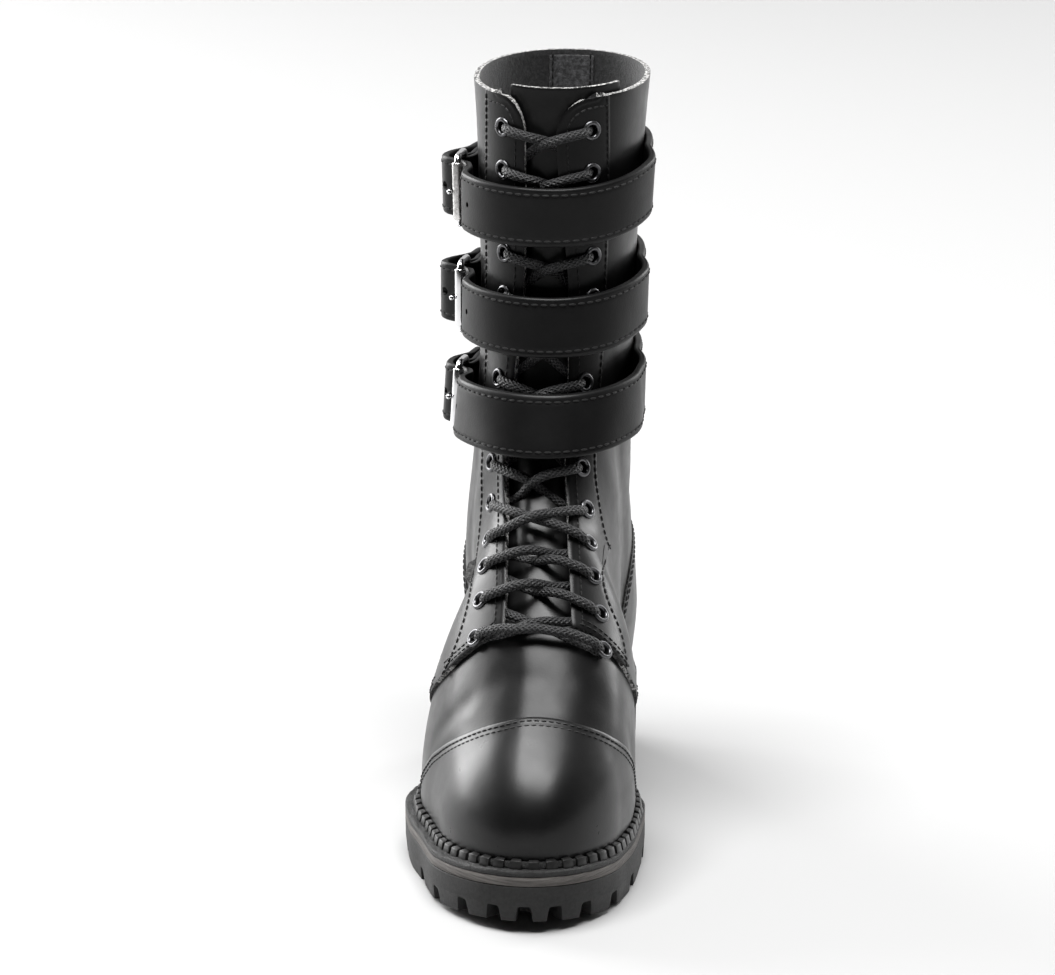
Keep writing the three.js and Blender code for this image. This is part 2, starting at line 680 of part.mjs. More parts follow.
// Solid of the last at a distance off it, run on below the sole's top and above the collar.
function lastSolid(distance, every = 1) {
  const off = typeof distance === 'function' ? distance : () => distance;
  const kept = lastRings.filter((ring, i) => i % every === 0 || i === lastRings.length - 1);
  const rings = kept.map((ring) => ring.map(({ point, normal }) => (
    world(point.clone().addScaledVector(normal, off(point)))
  )));
  const shifted = (ring, rise) => ring.map((p) => new THREE.Vector3(p.x, p.y, p.z + rise));
  return bodyFromRings([shifted(rings[0], -2 * TRIM), ...rings, shifted(rings.at(-1), TRIM)]);
}

// Smooth line through the rows of an edge table, in s and z.
function edgeLine(rows, shift) {
  const points = rows.map((row) => new THREE.Vector2(row.along * SOLE_LENGTH + shift, row.up * BOOT_HEIGHT));
  return new THREE.SplineCurve(points).getPoints(12).map((p) => [p.x, p.y]);
}

const FAR = 2 * BOOT_HEIGHT;
const footOf = (rows, shift) => [rows.at(-1).along * SOLE_LENGTH + shift, -FAR];
const quarterBar = (shift) => sideBar([
  ...edgeLine(QUARTER_EDGE, shift).reverse(),
  [SOLE_LENGTH, FAR], [-FAR, FAR], [-FAR, -FAR], footOf(QUARTER_EDGE, shift),
]);
const capBar = (shift) => sideBar([
  ...edgeLine(CAP_EDGE, shift), footOf(CAP_EDGE, shift), [FAR, -FAR], [FAR, BOOT_HEIGHT * CAP_EDGE[0].up],
]);
const counterBar = (shift) => sideBar([
  ...edgeLine(COUNTER_EDGE, shift).reverse(),
  [-FAR, BOOT_HEIGHT * COUNTER_EDGE[0].up], [-FAR, -FAR], footOf(COUNTER_EDGE, shift),
]);

function throatBar() {
  const left = [];
  const right = [];
  const bottom = THROAT_BOTTOM * BOOT_HEIGHT;
  const steps = 14;
  for (let i = 0; i <= steps; i += 1) {
    const z = mix(bottom, BOOT_HEIGHT + TRIM * 2, i / steps);
    const share = z / BOOT_HEIGHT;
    const rise = clamp(z - (BOOT_HEIGHT - CORNER_RADIUS), 0, CORNER_RADIUS);
    const corner = CORNER_RADIUS - Math.sqrt(CORNER_RADIUS ** 2 - rise ** 2);
    const half = SHAFT_WIDTH * throatHalf(share) + corner;
    const centre = SHAFT_WIDTH * throatCentre(share);
    left.push([centre - half, z]);
    right.push([centre + half, z]);
  }
  const from = SHAFT_DEPTH * 0.72;
  return frontBar([...right, ...left.reverse()], from, SOLE_LENGTH);
}

function facingBar() {
  const left = [];
  const right = [];
  const steps = 14;
  for (let i = 0; i <= steps; i += 1) {
    const share = mix(0.2, 1.1, i / steps);
    left.push([SHAFT_WIDTH * facingSeams[0](share), BOOT_HEIGHT * share]);
    right.push([SHAFT_WIDTH * facingSeams[1](share), BOOT_HEIGHT * share]);
  }
  return frontBar([...right, ...left.reverse()], SHAFT_DEPTH * 0.72, SOLE_LENGTH);
}

// Everything below the midsole's top, followed closely along the boot.
function floorBar() {
  const line = [];
  const steps = 36;
  for (let i = 0; i <= steps; i += 1) {
    const s = mix(-10, SOLE_LENGTH + 10, i / steps);
    line.push([s, featherAt(clamp(s, 0, SOLE_LENGTH))]);
  }
  return sideBar([[-10, -FAR], [SOLE_LENGTH + 10, -FAR], ...line.reverse()]);
}

const skyBar = () => sideBar([[-FAR, BOOT_HEIGHT], [FAR, BOOT_HEIGHT], [FAR, FAR], [-FAR, FAR]]);

// The upper's outer body, grown by a clearance where another piece has to fit round it.
function upperBody(grow) {
  const edge = grow > 0 ? CLEARANCE : 0;
  const counter = QUARTER_STEP + COUNTER_STEP;
  const backstay = frontBar([
    [-BACKSTAY_WIDTH / 2, BOOT_HEIGHT * 0.3], [BACKSTAY_WIDTH / 2, BOOT_HEIGHT * 0.3],
    [BACKSTAY_WIDTH / 2, FAR], [-BACKSTAY_WIDTH / 2, FAR],
  ], -SHAFT_DEPTH * 0.4, SHAFT_DEPTH * 0.8);
  const quarter = quarterBar(edge);
  return joined([
    lastSolid(grow),
    lastSolid(QUARTER_STEP + grow).intersect(quarter),
    lastSolid(QUARTER_STEP + FACING_STEP + grow).intersect(quarterBar(edge - 1)).intersect(facingBar()),
    lastSolid(CAP_STEP + grow).intersect(capBar(-edge)),
    lastSolid(counter + grow).intersect(counterBar(edge).add(backstay)),
  ]);
}

function upper() {
  const inside = lastSolid((point) => -innerWall(point), 2);
  return [inside, floorBar(), skyBar(), throatBar()].reduce((body, cut) => body.subtract(cut), upperBody(0));
}

// Leather that lies on the last just over the sole, at a place along the boot.
function layerAt(s) {
  const edge = 4 * CLEARANCE;
  if (s < SOLE_LENGTH * 0.34 + edge) return QUARTER_STEP + COUNTER_STEP;
  if (s < SOLE_LENGTH * 0.54 + edge) return QUARTER_STEP;
  return s > SOLE_LENGTH * 0.64 - edge ? CAP_STEP : 0;
}

// Loop round the last a little over the sole, stood off it by a distance that may change along
// the boot, and kept in from the sole's edge where a margin is given.
function footLoop(castHeight, distance, height, margin = -SOLE_LENGTH) {
  const points = [];
  for (let i = 0; i < SOLE_AROUND; i += 1) {
    const turn = i / SOLE_AROUND;
    const edge = outlinePoint(turn, 1);
    const here = outlinePoint(turn, 0);
    const before = outlinePoint(turn - 0.004, 0);
    const after = outlinePoint(turn + 0.004, 0);
    const way = new THREE.Vector3(after.y - before.y, before.x - after.x, 0).normalize();
    const inside = new THREE.Vector3(here.x, here.y, featherAt(here.y) + castHeight);
    const wall = castOut(inside.addScaledVector(way, -6 * RIB_DEPTH), way);
    const room = (edge.x - wall.x) * way.x + (edge.y - wall.y) * way.y - margin;
    wall.addScaledVector(way, Math.min(distance(wall.y), room));
    points.push(new THREE.Vector3(wall.x, yAt(wall.y), featherAt(wall.y) + height));
  }
  return points;
}

// Storm welt: a flat rim with ribs that stand against the upper.
function welt() {
  const top = WELT_THICKNESS + RIB_HEIGHT;
  const rim = soleLayer(featherAt, (s) => featherAt(s) + WELT_THICKNESS, 1, 1);
  const off = (depth) => (s) => layerAt(s) + 4 * CLEARANCE + depth;
  const band = bodyFromRings([
    footLoop(top, off(RIB_DEPTH * 1.3), WELT_THICKNESS / 2, CLEARANCE),
    footLoop(top, off(RIB_DEPTH), top, CLEARANCE),
  ]);
  const core = bodyFromRings([footLoop(top, off(0), -top), footLoop(top, off(0), 2 * top)]);
  const loop = footLoop(top, off(RIB_DEPTH / 2), top);
  const lengths = loop.map((p, i) => p.distanceTo(loop[(i + 1) % loop.length]));
  const total = lengths.reduce((sum, length) => sum + length, 0);
  const count = Math.round(total / RIB_PITCH);
  const gaps = [];
  let i = 0;
  let passed = 0;
  for (let n = 0; n < count; n += 1) {
    const want = ((n + 0.5) * total) / count;
    while (passed + lengths[i] < want) {
      passed += lengths[i];
      i += 1;
    }
    const next = loop[(i + 1) % loop.length];
    const place = loop[i].clone().lerp(next, (want - passed) / lengths[i]);
    const gap = new THREE.BoxGeometry(total / count - RIB_WIDTH, 4 * RIB_DEPTH, 2 * top);
    gap.rotateZ(Math.atan2(next.y - loop[i].y, next.x - loop[i].x));
    gap.translate(place.x, place.y, place.z);
    gaps.push(solidOf(gap));
  }
  return rim.add(band.subtract(joined(gaps))).subtract(core);
}

// Insole, flat on the midsole inside the upper.
function insole() {
  const inset = () => -2 * VAMP_WALL;
  return bodyFromRings([footLoop(0.5, inset, 0), footLoop(0.5, inset, INSOLE_THICKNESS)]);
}

// Closed sheet between two grids of points of the same size.
function sheetBody(front, back) {
  const rows = front.length;
  const cols = front[0].length;
  const positions = [...front.flat(), ...back.flat()].flatMap((p) => [p.x, p.y, p.z]);
  const id = (layer, r, c) => layer * rows * cols + r * cols + c;
  const faces = [];
  const quad = (a, b, c, d) => faces.push(a, b, c, a, c, d);
  for (let r = 0; r + 1 < rows; r += 1) {
    for (let c = 0; c + 1 < cols; c += 1) {
      quad(id(0, r, c), id(0, r + 1, c), id(0, r + 1, c + 1), id(0, r, c + 1));
      quad(id(1, r, c), id(1, r, c + 1), id(1, r + 1, c + 1), id(1, r + 1, c));
    }
    quad(id(0, r, 0), id(1, r, 0), id(1, r + 1, 0), id(0, r + 1, 0));
    quad(id(0, r, cols - 1), id(0, r + 1, cols - 1), id(1, r + 1, cols - 1), id(1, r, cols - 1));
  }
  for (let c = 0; c + 1 < cols; c += 1) {
    quad(id(0, 0, c), id(0, 0, c + 1), id(1, 0, c + 1), id(1, 0, c));
    quad(id(0, rows - 1, c), id(1, rows - 1, c), id(1, rows - 1, c + 1), id(0, rows - 1, c + 1));
  }
  return solidFrom(positions, faces);
}

const TONGUE_WIDTH = 54;
const TONGUE_FOOT_WIDTH = 44;
const TONGUE_FOOT = 0.285;
const TONGUE_RISE = 4;

function tongue() {
  const rows = 13;
  const cols = 5;
  const grid = (depth) => {
    const points = [];
    for (let r = 0; r <= rows; r += 1) {
      const z = mix(BOOT_HEIGHT + TONGUE_RISE, BOOT_HEIGHT * TONGUE_FOOT, r / rows);
      const share = z / BOOT_HEIGHT;
      const half = mix(TONGUE_FOOT_WIDTH, TONGUE_WIDTH, smooth((share - TONGUE_FOOT) / 0.3)) / 2;
      const under = 5 * CLEARANCE + VAMP_WALL * smooth((0.43 - share) / 0.08);
      const row = [];
      for (let c = 0; c <= cols; c += 1) {
        const x = SHAFT_WIDTH * throatCentre(share) + half * ((2 * c) / cols - 1);
        const point = castFront(x, z);
        row.push(world(offset(point, -innerWall(point) - under - depth)));
      }
      points.push(row);
    }
    return points;
  };
  return sheetBody(grid(0), grid(TONGUE_THICKNESS));
}

// Rows of eyelets down each facing, a pitch apart along the leather.
const eyeletPlaces = { lateral: eyeletSide(0), medial: eyeletSide(1) };

function eyeletSide(side) {
  const stand = QUARTER_STEP + FACING_STEP;
  const placeAt = (z) => {
    const share = z / BOOT_HEIGHT;
    const point = castFront(SHAFT_WIDTH * eyeletLines[side](share), z);
    return { point: offset(point, stand), normal: normalAt(point) };
  };
  const places = [placeAt(BOOT_HEIGHT - EYELET_TOP_DROP)];
  let z = BOOT_HEIGHT - EYELET_TOP_DROP;
  while (places.length < EYELET_ROWS) {
    const last = places.at(-1);
    let next = last;
    while (next.point.distanceTo(last.point) < EYELET_PITCH) {
      z -= 0.4;
      next = placeAt(z);
    }
    places.push(next);
  }
  return places;
}

// Matrix that stands a piece's own Z on a normal at a point.
function standOn(point, normal, lift) {
  const turn = new THREE.Quaternion().setFromUnitVectors(new THREE.Vector3(0, 0, 1), normal);
  const seat = point.clone().addScaledVector(normal, lift);
  return new THREE.Matrix4().compose(seat, turn, new THREE.Vector3(1, 1, 1));
}

const worldWay = (v) => new THREE.Vector3(v.x, -v.y, v.z);

function eyelet({ point, normal }) {
  const profile = [
    new THREE.Vector2(EYELET_HOLE / 2, 0),
    new THREE.Vector2(EYELET_DIAMETER / 2, 0),
    new THREE.Vector2((EYELET_DIAMETER + EYELET_HOLE) / 4, EYELET_THICKNESS),
    new THREE.Vector2(EYELET_HOLE / 2, 0),
  ];
  const geometry = new THREE.LatheGeometry(profile, 6).rotateX(Math.PI / 2);
  geometry.applyMatrix4(standOn(world(point), worldWay(normal), EYELET_SEAT));
  return solidOf(geometry);
}

// How far the lace's middle lies over the facing.
const LACE_LIFT = EYELET_SEAT + EYELET_THICKNESS + 3 * CLEARANCE + LACE_DIAMETER / 2;

// Lace: two zigzags that cross between the rows and a bar at the lowest one, joined.
function lace() {
  const stand = QUARTER_STEP + FACING_STEP + LACE_LIFT;
  const over = (a, b, t) => {
    const middle = a.clone().lerp(b, t);
    const point = castFront(middle.x, middle.z);
    const normal = normalAt(point);
    return { point: world(offset(point, stand)), normal: worldWay(normal) };
  };
  const base = (side, row) => {
    const { point, normal } = eyeletPlaces[side][row];
    return point.clone().addScaledVector(normal, -QUARTER_STEP - FACING_STEP);
  };
  const sides = ['lateral', 'medial'];
  const zigzag = (start) => {
    const stops = [];
    for (let row = 0; row < EYELET_ROWS; row += 1) {
      const from = base(sides[(row + start) % 2], row);
      stops.push(over(from, from, 0));
      if (row + 1 < EYELET_ROWS) {
        const to = base(sides[(row + 1 + start) % 2], row + 1);
        stops.push(over(from, to, 0.25), over(from, to, 0.75));
      }
    }
    return cordBody(stops, LACE_DIAMETER);
  };
  const ends = sides.map((side) => base(side, EYELET_ROWS - 1));
  const lowest = [0, 0.25, 0.75, 1].map((t) => over(ends[0], ends[1], t));
  return joined([zigzag(0), zigzag(1), cordBody(lowest, LACE_DIAMETER)]);
}

// Four-sided cord through places with their own normals.
function cordBody(stops, diameter) {
  const rings = stops.map(({ point, normal }, i) => {
    const before = stops[Math.max(i - 1, 0)].point;
    const after = stops[Math.min(i + 1, stops.length - 1)].point;
    const side = new THREE.Vector3().crossVectors(after.clone().sub(before), normal).normalize();
    const off = (way, share) => point.clone().addScaledVector(way, (share * diameter) / 2);
    return [off(normal, 1), off(side, 1), off(normal, -1), off(side, -1)];
  });
  return prismBody(rings);
}

// Closed body through rings of four points each.
function prismBody(rings) {
  const positions = rings.flat().flatMap((p) => [p.x, p.y, p.z]);
  const faces = [];
  for (let r = 0; r + 1 < rings.length; r += 1) {
    for (let i = 0; i < 4; i += 1) {
      const [a, b] = [4 * r + i, 4 * r + ((i + 1) % 4)];
      faces.push(a, b, b + 4, a, b + 4, a + 4);
    }
  }
  const end = 4 * (rings.length - 1);
  faces.push(0, 2, 1, 0, 3, 2, end, end + 1, end + 2, end, end + 2, end + 3);
  const solid = solidFrom(positions, faces);
  return solid.volume() > 0 ? solid : solidFrom(positions, faces.reverse());
}

// Straight round bar between two points.
function rod(from, to, diameter, sides = 4) {
  const way = to.clone().sub(from);
  const geometry = new THREE.CylinderGeometry(diameter / 2, diameter / 2, way.length(), sides);
  const turn = new THREE.Quaternion().setFromUnitVectors(new THREE.Vector3(0, 1, 0), way.clone().normalize());
  geometry.applyQuaternion(turn);
  const middle = from.clone().add(to).multiplyScalar(0.5);
  geometry.translate(middle.x, middle.y, middle.z);
  return solidOf(geometry);
}

// Straps. Each follows the last round the shaft at its own height and stand-off.

const BAR_OVER = 2 * CHAPE_LEATHER + 3 * CLEARANCE + WIRE_DIAMETER / 2;
const FOLD_RADIUS = WIRE_DIAMETER / 2 + CLEARANCE + CHAPE_LEATHER;
const STRAP_RESTS = {
  shaft: 2 * CLEARANCE,
  air: STRAP_AIR,
  lace: FACING_STEP + LACE_LIFT + LACE_DIAMETER / 2 + CLEARANCE,
  roller: UNDER_ROLLER,
  fold: BAR_OVER + FOLD_RADIUS + CLEARANCE,
  tail: 2 * CHAPE_LEATHER + 4 * CLEARANCE,
};
const strapRows = STRAP_WAY.map(({ turn, on }) => ({ turn, over: STRAP_RESTS[on] })).reverse();
const overAt = column(strapRows, 'over', 'turn');
const easeAt = (strap, turn) => LACE_DIAMETER * strap.ease * smooth((EASE_END - Math.abs(turn)) / EASE_FADE);
const radians = THREE.MathUtils.degToRad;

// Height of a strap's middle at a turn round the shaft.
function strapHeight(strap, turn) {
  const side = turn > 0 ? strap.medial : strap.lateral;
  return BOOT_HEIGHT * strap.front + STRAP_WIDTH * side * smooth(Math.abs(turn) / 80);
}

// Point off the shaft at a turn, a height and a distance over the quarter.
function shaftPoint(turn, z, over) {
  const oval = shaftOval(z);
  const from = new THREE.Vector3(oval.centre, oval.middle, z);
  const way = new THREE.Vector3(Math.sin(radians(turn)), Math.cos(radians(turn)), 0);
  const point = castOut(from, way);
  const normal = normalAt(point).setZ(0).normalize();
  return world(point.addScaledVector(normal, QUARTER_STEP + over));
}

// Band between two turns: width up the shaft, thickness off it, one ring of four points a step.
function bandBody(strap, turns, width, inner, outer) {
  const rings = turns.map((turn) => {
    const middle = strapHeight(strap, turn);
    const corner = (rise, over) => shaftPoint(turn, middle + rise, over);
    return [
      corner(-width / 2, inner(turn)), corner(-width / 2, outer(turn)),
      corner(width / 2, outer(turn)), corner(width / 2, inner(turn)),
    ];
  });
  return prismBody(rings);
}

const spread = (from, to, steps) => Array.from({ length: steps + 1 }, (_, i) => mix(from, to, i / steps));

// Places that a buckle is built from: its roller, its bar, and the ways along and off it.
function bucklePlaces(strap) {
  const rise = STRAP_WIDTH / 2;
  const at = (turn, over) => {
    const z = strapHeight(strap, turn);
    const middle = shaftPoint(turn, z, over);
    const up = shaftPoint(turn, z + rise, over).sub(shaftPoint(turn, z - rise, over)).normalize();
    return { middle, up };
  };
  const rollerOver = overAt(ROLLER_TURN) + STRAP_THICKNESS + 3 * CLEARANCE + ROLLER_DIAMETER / 2;
  const roller = at(ROLLER_TURN, rollerOver);
  const barPlace = at(BAR_TURN, BAR_OVER);
  const up = roller.up.clone().add(barPlace.up).normalize();
  const along = roller.middle.clone().sub(barPlace.middle);
  along.addScaledVector(up, -along.dot(up));
  const length = along.length();
  along.normalize();
  const off = new THREE.Vector3().crossVectors(along, up);
  const place = new THREE.Matrix4().makeBasis(along, off, up).setPosition(barPlace.middle);
  return { place, length };
}

// Pieces of a buckle are built lying along X from its bar, with Y off the boot and Z along the bar.
const upright = (geometry) => geometry.rotateX(Math.PI / 2);

function buckleFrame({ place, length }) {
  const half = STRAP_WIDTH / 2 + WIRE_DIAMETER / 2 + 3 * CLEARANCE;
  const corner = WIRE_DIAMETER;
  const points = [];
  [[0, 1], [1, 1], [1, -1], [0, -1]].forEach(([end, side], i) => {
    const centre = new THREE.Vector3(end ? length - corner : corner, 0, side * (half - corner));
    for (let k = 0; k <= 2; k += 1) {
      const angle = Math.PI - (Math.PI / 2) * (i + k / 2);
      const out = new THREE.Vector3(Math.cos(angle), 0, Math.sin(angle));
      points.push(centre.clone().addScaledVector(out, corner));
    }
  });
  return ringTube(points, WIRE_DIAMETER).transform(place.elements);
}

// Closed tube with one six-sided ring at each point of a flat loop in the XZ plane.
function ringTube(points, diameter) {
  const sides = 6;
  const count = points.length;
  const positions = [];
  points.forEach((point, i) => {
    const before = points[(i + count - 1) % count];
    const after = points[(i + 1) % count];
    const way = after.clone().sub(before).normalize();
    const out = new THREE.Vector3(-way.z, 0, way.x);
    for (let k = 0; k < sides; k += 1) {
      const angle = (2 * Math.PI * k) / sides;
      positions.push(
        point.x + (out.x * Math.cos(angle) * diameter) / 2,
        (Math.sin(angle) * diameter) / 2,
        point.z + (out.z * Math.cos(angle) * diameter) / 2,
      );
    }
  });
  const faces = [];
  for (let i = 0; i < count; i += 1) {
    for (let k = 0; k < sides; k += 1) {
      const a = i * sides + k;
      const b = i * sides + ((k + 1) % sides);
      const c = ((i + 1) % count) * sides + k;
      const d = ((i + 1) % count) * sides + ((k + 1) % sides);
      faces.push(a, b, d, a, d, c);
    }
  }
  const solid = solidFrom(positions, faces);
  return solid.volume() > 0 ? solid : solidFrom(positions, [...faces].reverse());
}

// Sleeve round a bar: a ring section turned about Z.
function sleeve(inner, outer, width, sides) {
  const profile = [
    [inner, -width / 2], [outer, -width / 2], [outer, width / 2], [inner, width / 2], [inner, -width / 2],
  ].map(([r, y]) => new THREE.Vector2(r, y));
  return solidOf(upright(new THREE.LatheGeometry(profile, sides)));
}

function buckleRoller({ place, length }) {
  const roller = sleeve(WIRE_DIAMETER / 2 + CLEARANCE, ROLLER_DIAMETER / 2, STRAP_WIDTH - CLEARANCE, 8);
  return roller.translate(length, 0, 0).transform(place.elements);
}

// Prong: an eye round the bar and a pin that lies over the roller.
const EYE_INNER = WIRE_DIAMETER / 2 + CLEARANCE;
const EYE_OUTER = EYE_INNER + PRONG_DIAMETER * 0.7;

function pinBody(length, diameter) {
  const over = ROLLER_DIAMETER / 2 + CLEARANCE + PRONG_DIAMETER / 2;
  const start = new THREE.Vector3((EYE_INNER + EYE_OUTER) / 2, 0.3 * PRONG_DIAMETER, 0);
  const knee = new THREE.Vector3(length * 0.55, over * 0.85, 0);
  const seat = new THREE.Vector3(length, over, 0);
  const tip = new THREE.Vector3(length + ROLLER_DIAMETER * 0.75, over * 0.92, 0);
  return joined([[start, knee], [knee, seat], [seat, tip]].map(([a, b]) => rod(a, b, diameter)));
}

function bucklePin({ place, length }) {
  const eye = sleeve(EYE_INNER, EYE_OUTER, PRONG_EYE_WIDTH, 6);
  return eye.add(pinBody(length, PRONG_DIAMETER)).transform(place.elements);
}

// Chape: leather folded round the bar, with both layers sewn together along the shaft.
function chape(strap, { place }) {
  const fold = sleeve(EYE_INNER, FOLD_RADIUS, CHAPE_WIDTH, 8).transform(place.elements);
  const low = () => 2 * CLEARANCE;
  const high = () => 2 * CLEARANCE + 2 * CHAPE_LEATHER;
  const tail = bandBody(strap, spread(BAR_TURN - 4, CHAPE_END_TURN, 6), CHAPE_WIDTH, low, high);
  const bore = solidOf(upright(new THREE.CylinderGeometry(EYE_INNER, EYE_INNER, 2 * CHAPE_WIDTH, 8)));
  const slotLength = 2 * (EYE_OUTER + 2 * CLEARANCE);
  const slot = new THREE.BoxGeometry(slotLength, slotLength, PRONG_EYE_WIDTH + 4 * CLEARANCE);
  slot.translate(CLEARANCE, 0, 0);
  const cut = bore.add(solidOf(slot)).transform(place.elements);
  return fold.add(tail).subtract(cut);
}

// Strap with the hole that its prong goes through.
function strapBody(strap, { place, length }) {
  const turns = spread(STRAP_WAY[0].turn, STRAP_WAY.at(-1).turn, STRAP_STEPS);
  const inner = (turn) => overAt(turn) + easeAt(strap, turn);
  const band = bandBody(strap, turns, STRAP_WIDTH, inner, (turn) => inner(turn) + STRAP_THICKNESS);
  return band.subtract(pinBody(length, PRONG_DIAMETER + 4 * CLEARANCE).transform(place.elements));
}

// The boot's pieces, with their colour, roughness and metalness.
const LEATHER = { color: 0x1b1b1d, roughness: 0.38, metalness: 0 };
const SUEDE = { color: 0x2b2b2d, roughness: 0.95, metalness: 0 };
const RUBBER = { color: 0x1d1d1e, roughness: 0.8, metalness: 0 };
const MIDSOLE_GREY = { color: 0x5c5753, roughness: 0.85, metalness: 0 };
const BRAID = { color: 0x161617, roughness: 0.9, metalness: 0 };
const CHROME = { color: 0xd5d5d8, roughness: 0.15, metalness: 1 };
const GUNMETAL = { color: 0x4a4a4c, roughness: 0.35, metalness: 1 };

const boot = new THREE.Group();

function addPiece(name, solid, finish) {
  const mesh = new THREE.Mesh(geometryOf(solid), new THREE.MeshStandardMaterial(finish));
  mesh.name = name;
  boot.add(mesh);
}

addPiece('outsole', outsole(), RUBBER);
addPiece('midsole', midsole(), MIDSOLE_GREY);
addPiece('welt', welt(), RUBBER);
addPiece('insole', insole(), SUEDE);
addPiece('upper', upper(), LEATHER);
addPiece('tongue', tongue(), LEATHER);
addPiece('lace', lace(), BRAID);
['lateral', 'medial'].forEach((side) => {
  eyeletPlaces[side].forEach((place, row) => addPiece(`eyelet_${side}_${row + 1}`, eyelet(place), GUNMETAL));
});
STRAPS.forEach((strap) => {
  const places = bucklePlaces(strap);
  addPiece(`strap_${strap.name}`, strapBody(strap, places), LEATHER);
  addPiece(`chape_${strap.name}`, chape(strap, places), LEATHER);
  addPiece(`buckle_frame_${strap.name}`, buckleFrame(places), CHROME);
  addPiece(`buckle_roller_${strap.name}`, buckleRoller(places), CHROME);
  addPiece(`buckle_prong_${strap.name}`, bucklePin(places), CHROME);
});

// The origin lies under the middle of the boot's box, on the floor.
const box = new THREE.Box3().setFromObject(boot);
boot.position.set(-(box.min.x + box.max.x) / 2, -(box.min.y + box.max.y) / 2, -box.min.z);

export default boot;
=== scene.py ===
import math

import bmesh
import bpy
import numpy as np
from mathutils import Matrix, Vector


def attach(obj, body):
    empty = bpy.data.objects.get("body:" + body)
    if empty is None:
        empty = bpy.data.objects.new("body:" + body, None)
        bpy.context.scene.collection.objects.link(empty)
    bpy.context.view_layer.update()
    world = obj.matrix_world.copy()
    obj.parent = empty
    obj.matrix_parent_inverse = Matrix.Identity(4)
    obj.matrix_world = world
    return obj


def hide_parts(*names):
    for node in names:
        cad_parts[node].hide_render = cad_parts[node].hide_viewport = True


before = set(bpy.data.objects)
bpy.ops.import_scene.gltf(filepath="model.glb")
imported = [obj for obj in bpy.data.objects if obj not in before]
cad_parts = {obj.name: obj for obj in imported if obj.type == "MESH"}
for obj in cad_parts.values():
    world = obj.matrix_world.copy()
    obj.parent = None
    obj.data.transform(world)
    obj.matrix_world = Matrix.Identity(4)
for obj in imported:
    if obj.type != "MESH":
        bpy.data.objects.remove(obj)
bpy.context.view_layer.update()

# Sizes in millimetres. A place on the boot is across (x), along from the heel (s) and up (z).

SOLE_LENGTH = 305.0
BALL_WIDTH = 112.0
HEEL_WIDTH = 81.0
HEEL_THICKNESS = 37.0
FOREFOOT_THICKNESS = 16.5
TOE_SPRING = 6.0
BAND_THICKNESS = 9.5
HEEL_LENGTH = 78.0
TREAD_START = 150.0
MIDSOLE_THICKNESS = 4.2
WELT_THICKNESS = 2.5
RIB_HEIGHT = 4.5
RIB_PITCH = 7.5
RIB_DEPTH = 2.4
INSOLE_THICKNESS = 3.0
LATERAL_LEDGE = 8.0
MEDIAL_LEDGE = 5.4
TOE_LEDGE = 11.0
HEEL_LEDGE = 7.0
INSTEP_HEIGHT = 110.0
BOOT_HEIGHT = 345.0
SHAFT_DEPTH = 115.0
SHAFT_WIDTH = 79.0
CLEARANCE = 0.3
SIDE_SHIFT = 4.308

VAMP = 1.8
QUARTER = 1.8
FACING = 1.0
CAP = 1.2
COUNTER = 1.0
INNER_WALL = 0.8
EYELET_PITCH = 19.6
EYELET_TOP_DROP = 15.5
LACE_RADIUS = 2.3
BRAID_STRANDS = 7
BRAID_PITCH = 2.6
STRAP_WIDTH = 27.5
STRAP_THICKNESS = 3.6
CHAPE_LEATHER = 2.2
CHAPE_WIDTH = 27.0
WIRE = 3.2
ROLLER = 5.2
PRONG = 2.6


def mix(a, b, t):
    return a + (b - a) * t


def smooth(t):
    t = np.clip(t, 0, 1)
    return t * t * (3 - 2 * t)


def column(rows, key=1):
    """Smooth curve through one column of a table, with no overshoot between its rows."""
    at = np.array([row[0] for row in rows], float)
    value = np.array([row[key] for row in rows], float)
    slope = np.diff(value) / np.diff(at)
    tangent = np.zeros(len(at))
    tangent[0] = slope[0]
    tangent[-1] = slope[-1]
    for i in range(1, len(at) - 1):
        left, right = slope[i - 1], slope[i]
        tangent[i] = 0 if left * right <= 0 else 2 * left * right / (left + right)
    fine = np.linspace(at[0], at[-1], 3000)
    i = np.clip(np.searchsorted(at, fine) - 1, 0, len(at) - 2)
    span = at[i + 1] - at[i]
    u = (fine - at[i]) / span
    curve = value[i] + u * u * (3 - 2 * u) * (value[i + 1] - value[i])
    curve = curve + span * u * (1 - u) * ((1 - u) * tangent[i] - u * tangent[i + 1])
    return lambda t: np.interp(t, fine, curve)


# Tables of sections. First the share along or up, then shares of the named sizes.

SOLE_PLAN = [
    (0, -0.012, 0.478), (0.16, -0.02, 0.48), (0.25, -0.026, 0.461), (0.36, -0.021, 0.389),
    (0.45, -0.028, 0.374), (0.54, -0.05, 0.437), (0.62, -0.04, 0.5), (0.705, -0.022, 0.478),
    (0.787, 0.008, 0.433), (0.852, 0.018, 0.392), (0.918, 0.03, 0.352), (1, 0.048, 0.31),
]
SOLE_RISE = [(0, 1), (0.2, 0.98), (0.28, 0.84), (0.36, 0.6), (0.45, 0.27), (0.54, 0.07), (0.63, 0), (1, 0)]
FOOT = [
    (0, 0.6, 0.8, 2, 0), (0.1, 0.7, 0.8, 2, 0), (0.2, 0.95, 0.82, 2, 0), (0.3, 1.38, 0.9, 2, 0.01),
    (0.39, 1.62, 0.96, 2, 0.025), (0.46, 1.6, 0.96, 2.1, 0.025), (0.55, 1.46, 0.955, 2.25, 0.03),
    (0.64, 1.28, 0.965, 2.35, 0.033), (0.715, 1.12, 0.985, 2.35, 0.033), (0.79, 0.945, 1, 2.35, 0.03),
    (0.86, 0.78, 1, 2.4, 0.024), (0.92, 0.68, 1, 2.5, 0.012), (1, 0.6, 1, 2.5, 0),
]
